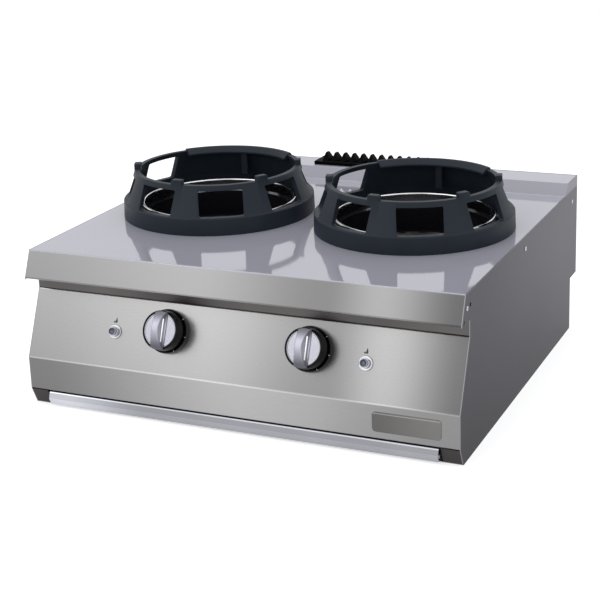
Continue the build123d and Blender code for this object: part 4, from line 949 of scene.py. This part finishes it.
def ignition_symbols():
    """Flame and spark dot printed above each button."""
    for side, x in zip(SIDES, (-BUTTON_X, BUTTON_X)):
        symbol = bmesh.new()
        place = panel_place(x, SYMBOL_UP_PANEL, 0)
        for outline in (flame_outline(SYMBOL_HEIGHT), dot_outline(*SPARK_DOT)):
            plate_from_outline(symbol, outline, SYMBOL_THICKNESS, place)
        name = f"{side}_ignition_symbol"
        new_piece(name, mesh_from(name, symbol), ink, "cabinet")


def dial_marks():
    """Light marks on each dial ring."""
    for side, x in zip(SIDES, (KNOB_MIDDLE - KNOB_X, KNOB_MIDDLE + KNOB_X)):
        marks = bmesh.new()
        for degrees in DIAL_MARK_ANGLES:
            turn = Matrix.Rotation(radians(degrees), 4, "Z")
            place = panel_place(x, KNOB_UP_PANEL, DIAL_MARK_OUT) @ turn
            half_long, half_wide = DIAL_MARK_SIZE[0] / 2, DIAL_MARK_SIZE[1] / 2
            corners = [
                (DIAL_MARK_R - half_long, -half_wide), (DIAL_MARK_R + half_long, -half_wide),
                (DIAL_MARK_R + half_long, half_wide), (DIAL_MARK_R - half_long, half_wide),
            ]
            plate_from_outline(marks, corners, SYMBOL_THICKNESS, place)
        name = f"{side}_dial_marks"
        new_piece(name, mesh_from(name, marks), light_ink, "cabinet")


ignition_symbols()
dial_marks()


# ---- studio -------------------------------------------------------------------------------------

FLOOR_SIZE = 14.0
FLOOR_PAINT = 0.82
FLOOR_GLOW = 0.62          # what the camera sees of the floor beyond its own shading
ROOM_TINT = (0.95, 0.97, 1.0, 1)
ROOM_LIGHT = 0.45
LAMP_AIM = (0, 0, 0.2)
LAMPS = (                  # name, place, size, watts
    ("key", (-1.8, -2.4, 2.6), (4.2, 3.0), 45),
    ("fill", (2.6, -1.8, 1.6), (3.0, 2.4), 12),
    ("top", (0.2, 0.6, 2.8), (3.6, 3.0), 25),
)


def camera_ray_share(tree):
    """1 for rays that should see the white room: camera, glossy and transmission rays."""
    path = tree.nodes.new("ShaderNodeLightPath")
    share = math_node(tree, "MAXIMUM", path.outputs["Is Camera Ray"], path.outputs["Is Glossy Ray"])
    return math_node(tree, "MAXIMUM", share, path.outputs["Is Transmission Ray"])


def white_room():
    """A soft even world that camera, glossy and transmission rays see as white."""
    world = bpy.data.worlds.new("white_room")
    bpy.context.scene.world = world
    world.use_nodes = True
    tree = world.node_tree
    plain = tree.nodes["Background"]
    plain.inputs["Color"].default_value = ROOM_TINT
    plain.inputs["Strength"].default_value = ROOM_LIGHT
    seen = tree.nodes.new("ShaderNodeBackground")
    seen.inputs["Color"].default_value = (1, 1, 1, 1)
    seen.inputs["Strength"].default_value = 1.0
    mix = tree.nodes.new("ShaderNodeMixShader")
    tree.links.new(camera_ray_share(tree), mix.inputs["Fac"])
    tree.links.new(plain.outputs[0], mix.inputs[1])
    tree.links.new(seen.outputs[0], mix.inputs[2])
    tree.links.new(mix.outputs[0], tree.nodes["World Output"].inputs["Surface"])


def studio_floor():
    """A white floor that catches shadows."""
    half = FLOOR_SIZE / 2
    corners = [(-half, -half, 0), (half, -half, 0), (half, half, 0), (-half, half, 0)]
    data = bpy.data.meshes.new("studio_floor")
    data.from_pydata(corners, [], [(0, 1, 2, 3)])
    floor = bpy.data.objects.new("studio_floor", data)
    bpy.context.scene.collection.objects.link(floor)
    material = bpy.data.materials.new("white_floor")
    material.use_nodes = True
    tree = material.node_tree
    tree.nodes.remove(tree.nodes["Principled BSDF"])
    paint = tree.nodes.new("ShaderNodeBsdfDiffuse")
    paint.inputs["Color"].default_value = (FLOOR_PAINT, FLOOR_PAINT, FLOOR_PAINT, 1)
    glow = tree.nodes.new("ShaderNodeEmission")
    both = tree.nodes.new("ShaderNodeAddShader")
    strength = math_node(tree, "MULTIPLY", camera_ray_share(tree), FLOOR_GLOW)
    tree.links.new(strength, glow.inputs["Strength"])
    tree.links.new(paint.outputs[0], both.inputs[0])
    tree.links.new(glow.outputs[0], both.inputs[1])
    tree.links.new(both.outputs[0], tree.nodes["Material Output"].inputs["Surface"])
    data.materials.append(material)


def soft_light(name, place, size, power):
    """A rectangular lamp aimed at the object."""
    light = bpy.data.lights.new(name, "AREA")
    light.shape = "RECTANGLE"
    light.size, light.size_y = size
    light.energy = power
    lamp = bpy.data.objects.new(name, light)
    lamp.location = place
    lamp.rotation_euler = (Vector(LAMP_AIM) - Vector(place)).to_track_quat("-Z", "Y").to_euler()
    bpy.context.scene.collection.objects.link(lamp)


# ---- camera -------------------------------------------------------------------------------------

PICTURE = 600.0                         # the photograph's frame, in pixels
SENSOR_WIDTH = 36.0
CAMERA_AZIMUTH = radians(24.62)
CAMERA_ELEVATION = radians(16.51)
CAMERA_ROLL = radians(-2.12)
CAMERA_DISTANCE = 2.7777
CAMERA_SIDESTEP = (-0.0280, 0.0843)     # right and up, before the roll
CAMERA_FOCAL = 1488.15                  # pixels
PICTURE_AXIS = (300.0, 240.0)           # where the lens axis meets the picture, from its top left
AIM = Vector((0, 0, 0.15))


def photograph_camera():
    """The camera fitted to the photograph's corners and edges."""
    azimuth, elevation = CAMERA_AZIMUTH, CAMERA_ELEVATION
    back = Vector((sin(azimuth) * cos(elevation), -cos(azimuth) * cos(elevation), sin(elevation)))
    right = Vector((cos(azimuth), sin(azimuth), 0))
    up = back.cross(right)
    place = AIM + back * CAMERA_DISTANCE + right * CAMERA_SIDESTEP[0] + up * CAMERA_SIDESTEP[1]
    rolled_right = right * cos(CAMERA_ROLL) + up * sin(CAMERA_ROLL)
    rolled_up = up * cos(CAMERA_ROLL) - right * sin(CAMERA_ROLL)
    turn = Matrix((rolled_right, rolled_up, back)).transposed().to_4x4()
    lens = bpy.data.cameras.new("photograph")
    lens.sensor_width = SENSOR_WIDTH
    lens.lens = CAMERA_FOCAL / PICTURE * SENSOR_WIDTH
    lens.shift_x = (PICTURE / 2 - PICTURE_AXIS[0]) / PICTURE
    lens.shift_y = (PICTURE_AXIS[1] - PICTURE / 2) / PICTURE
    camera = bpy.data.objects.new("photograph", lens)
    camera.matrix_world = Matrix.Translation(place) @ turn
    bpy.context.scene.collection.objects.link(camera)
    bpy.context.scene.camera = camera


white_room()
studio_floor()
for lamp_name, lamp_place, lamp_size, watts in LAMPS:
    soft_light(lamp_name, lamp_place, lamp_size, watts)
photograph_camera()
bpy.context.scene.view_settings.view_transform = "Standard"
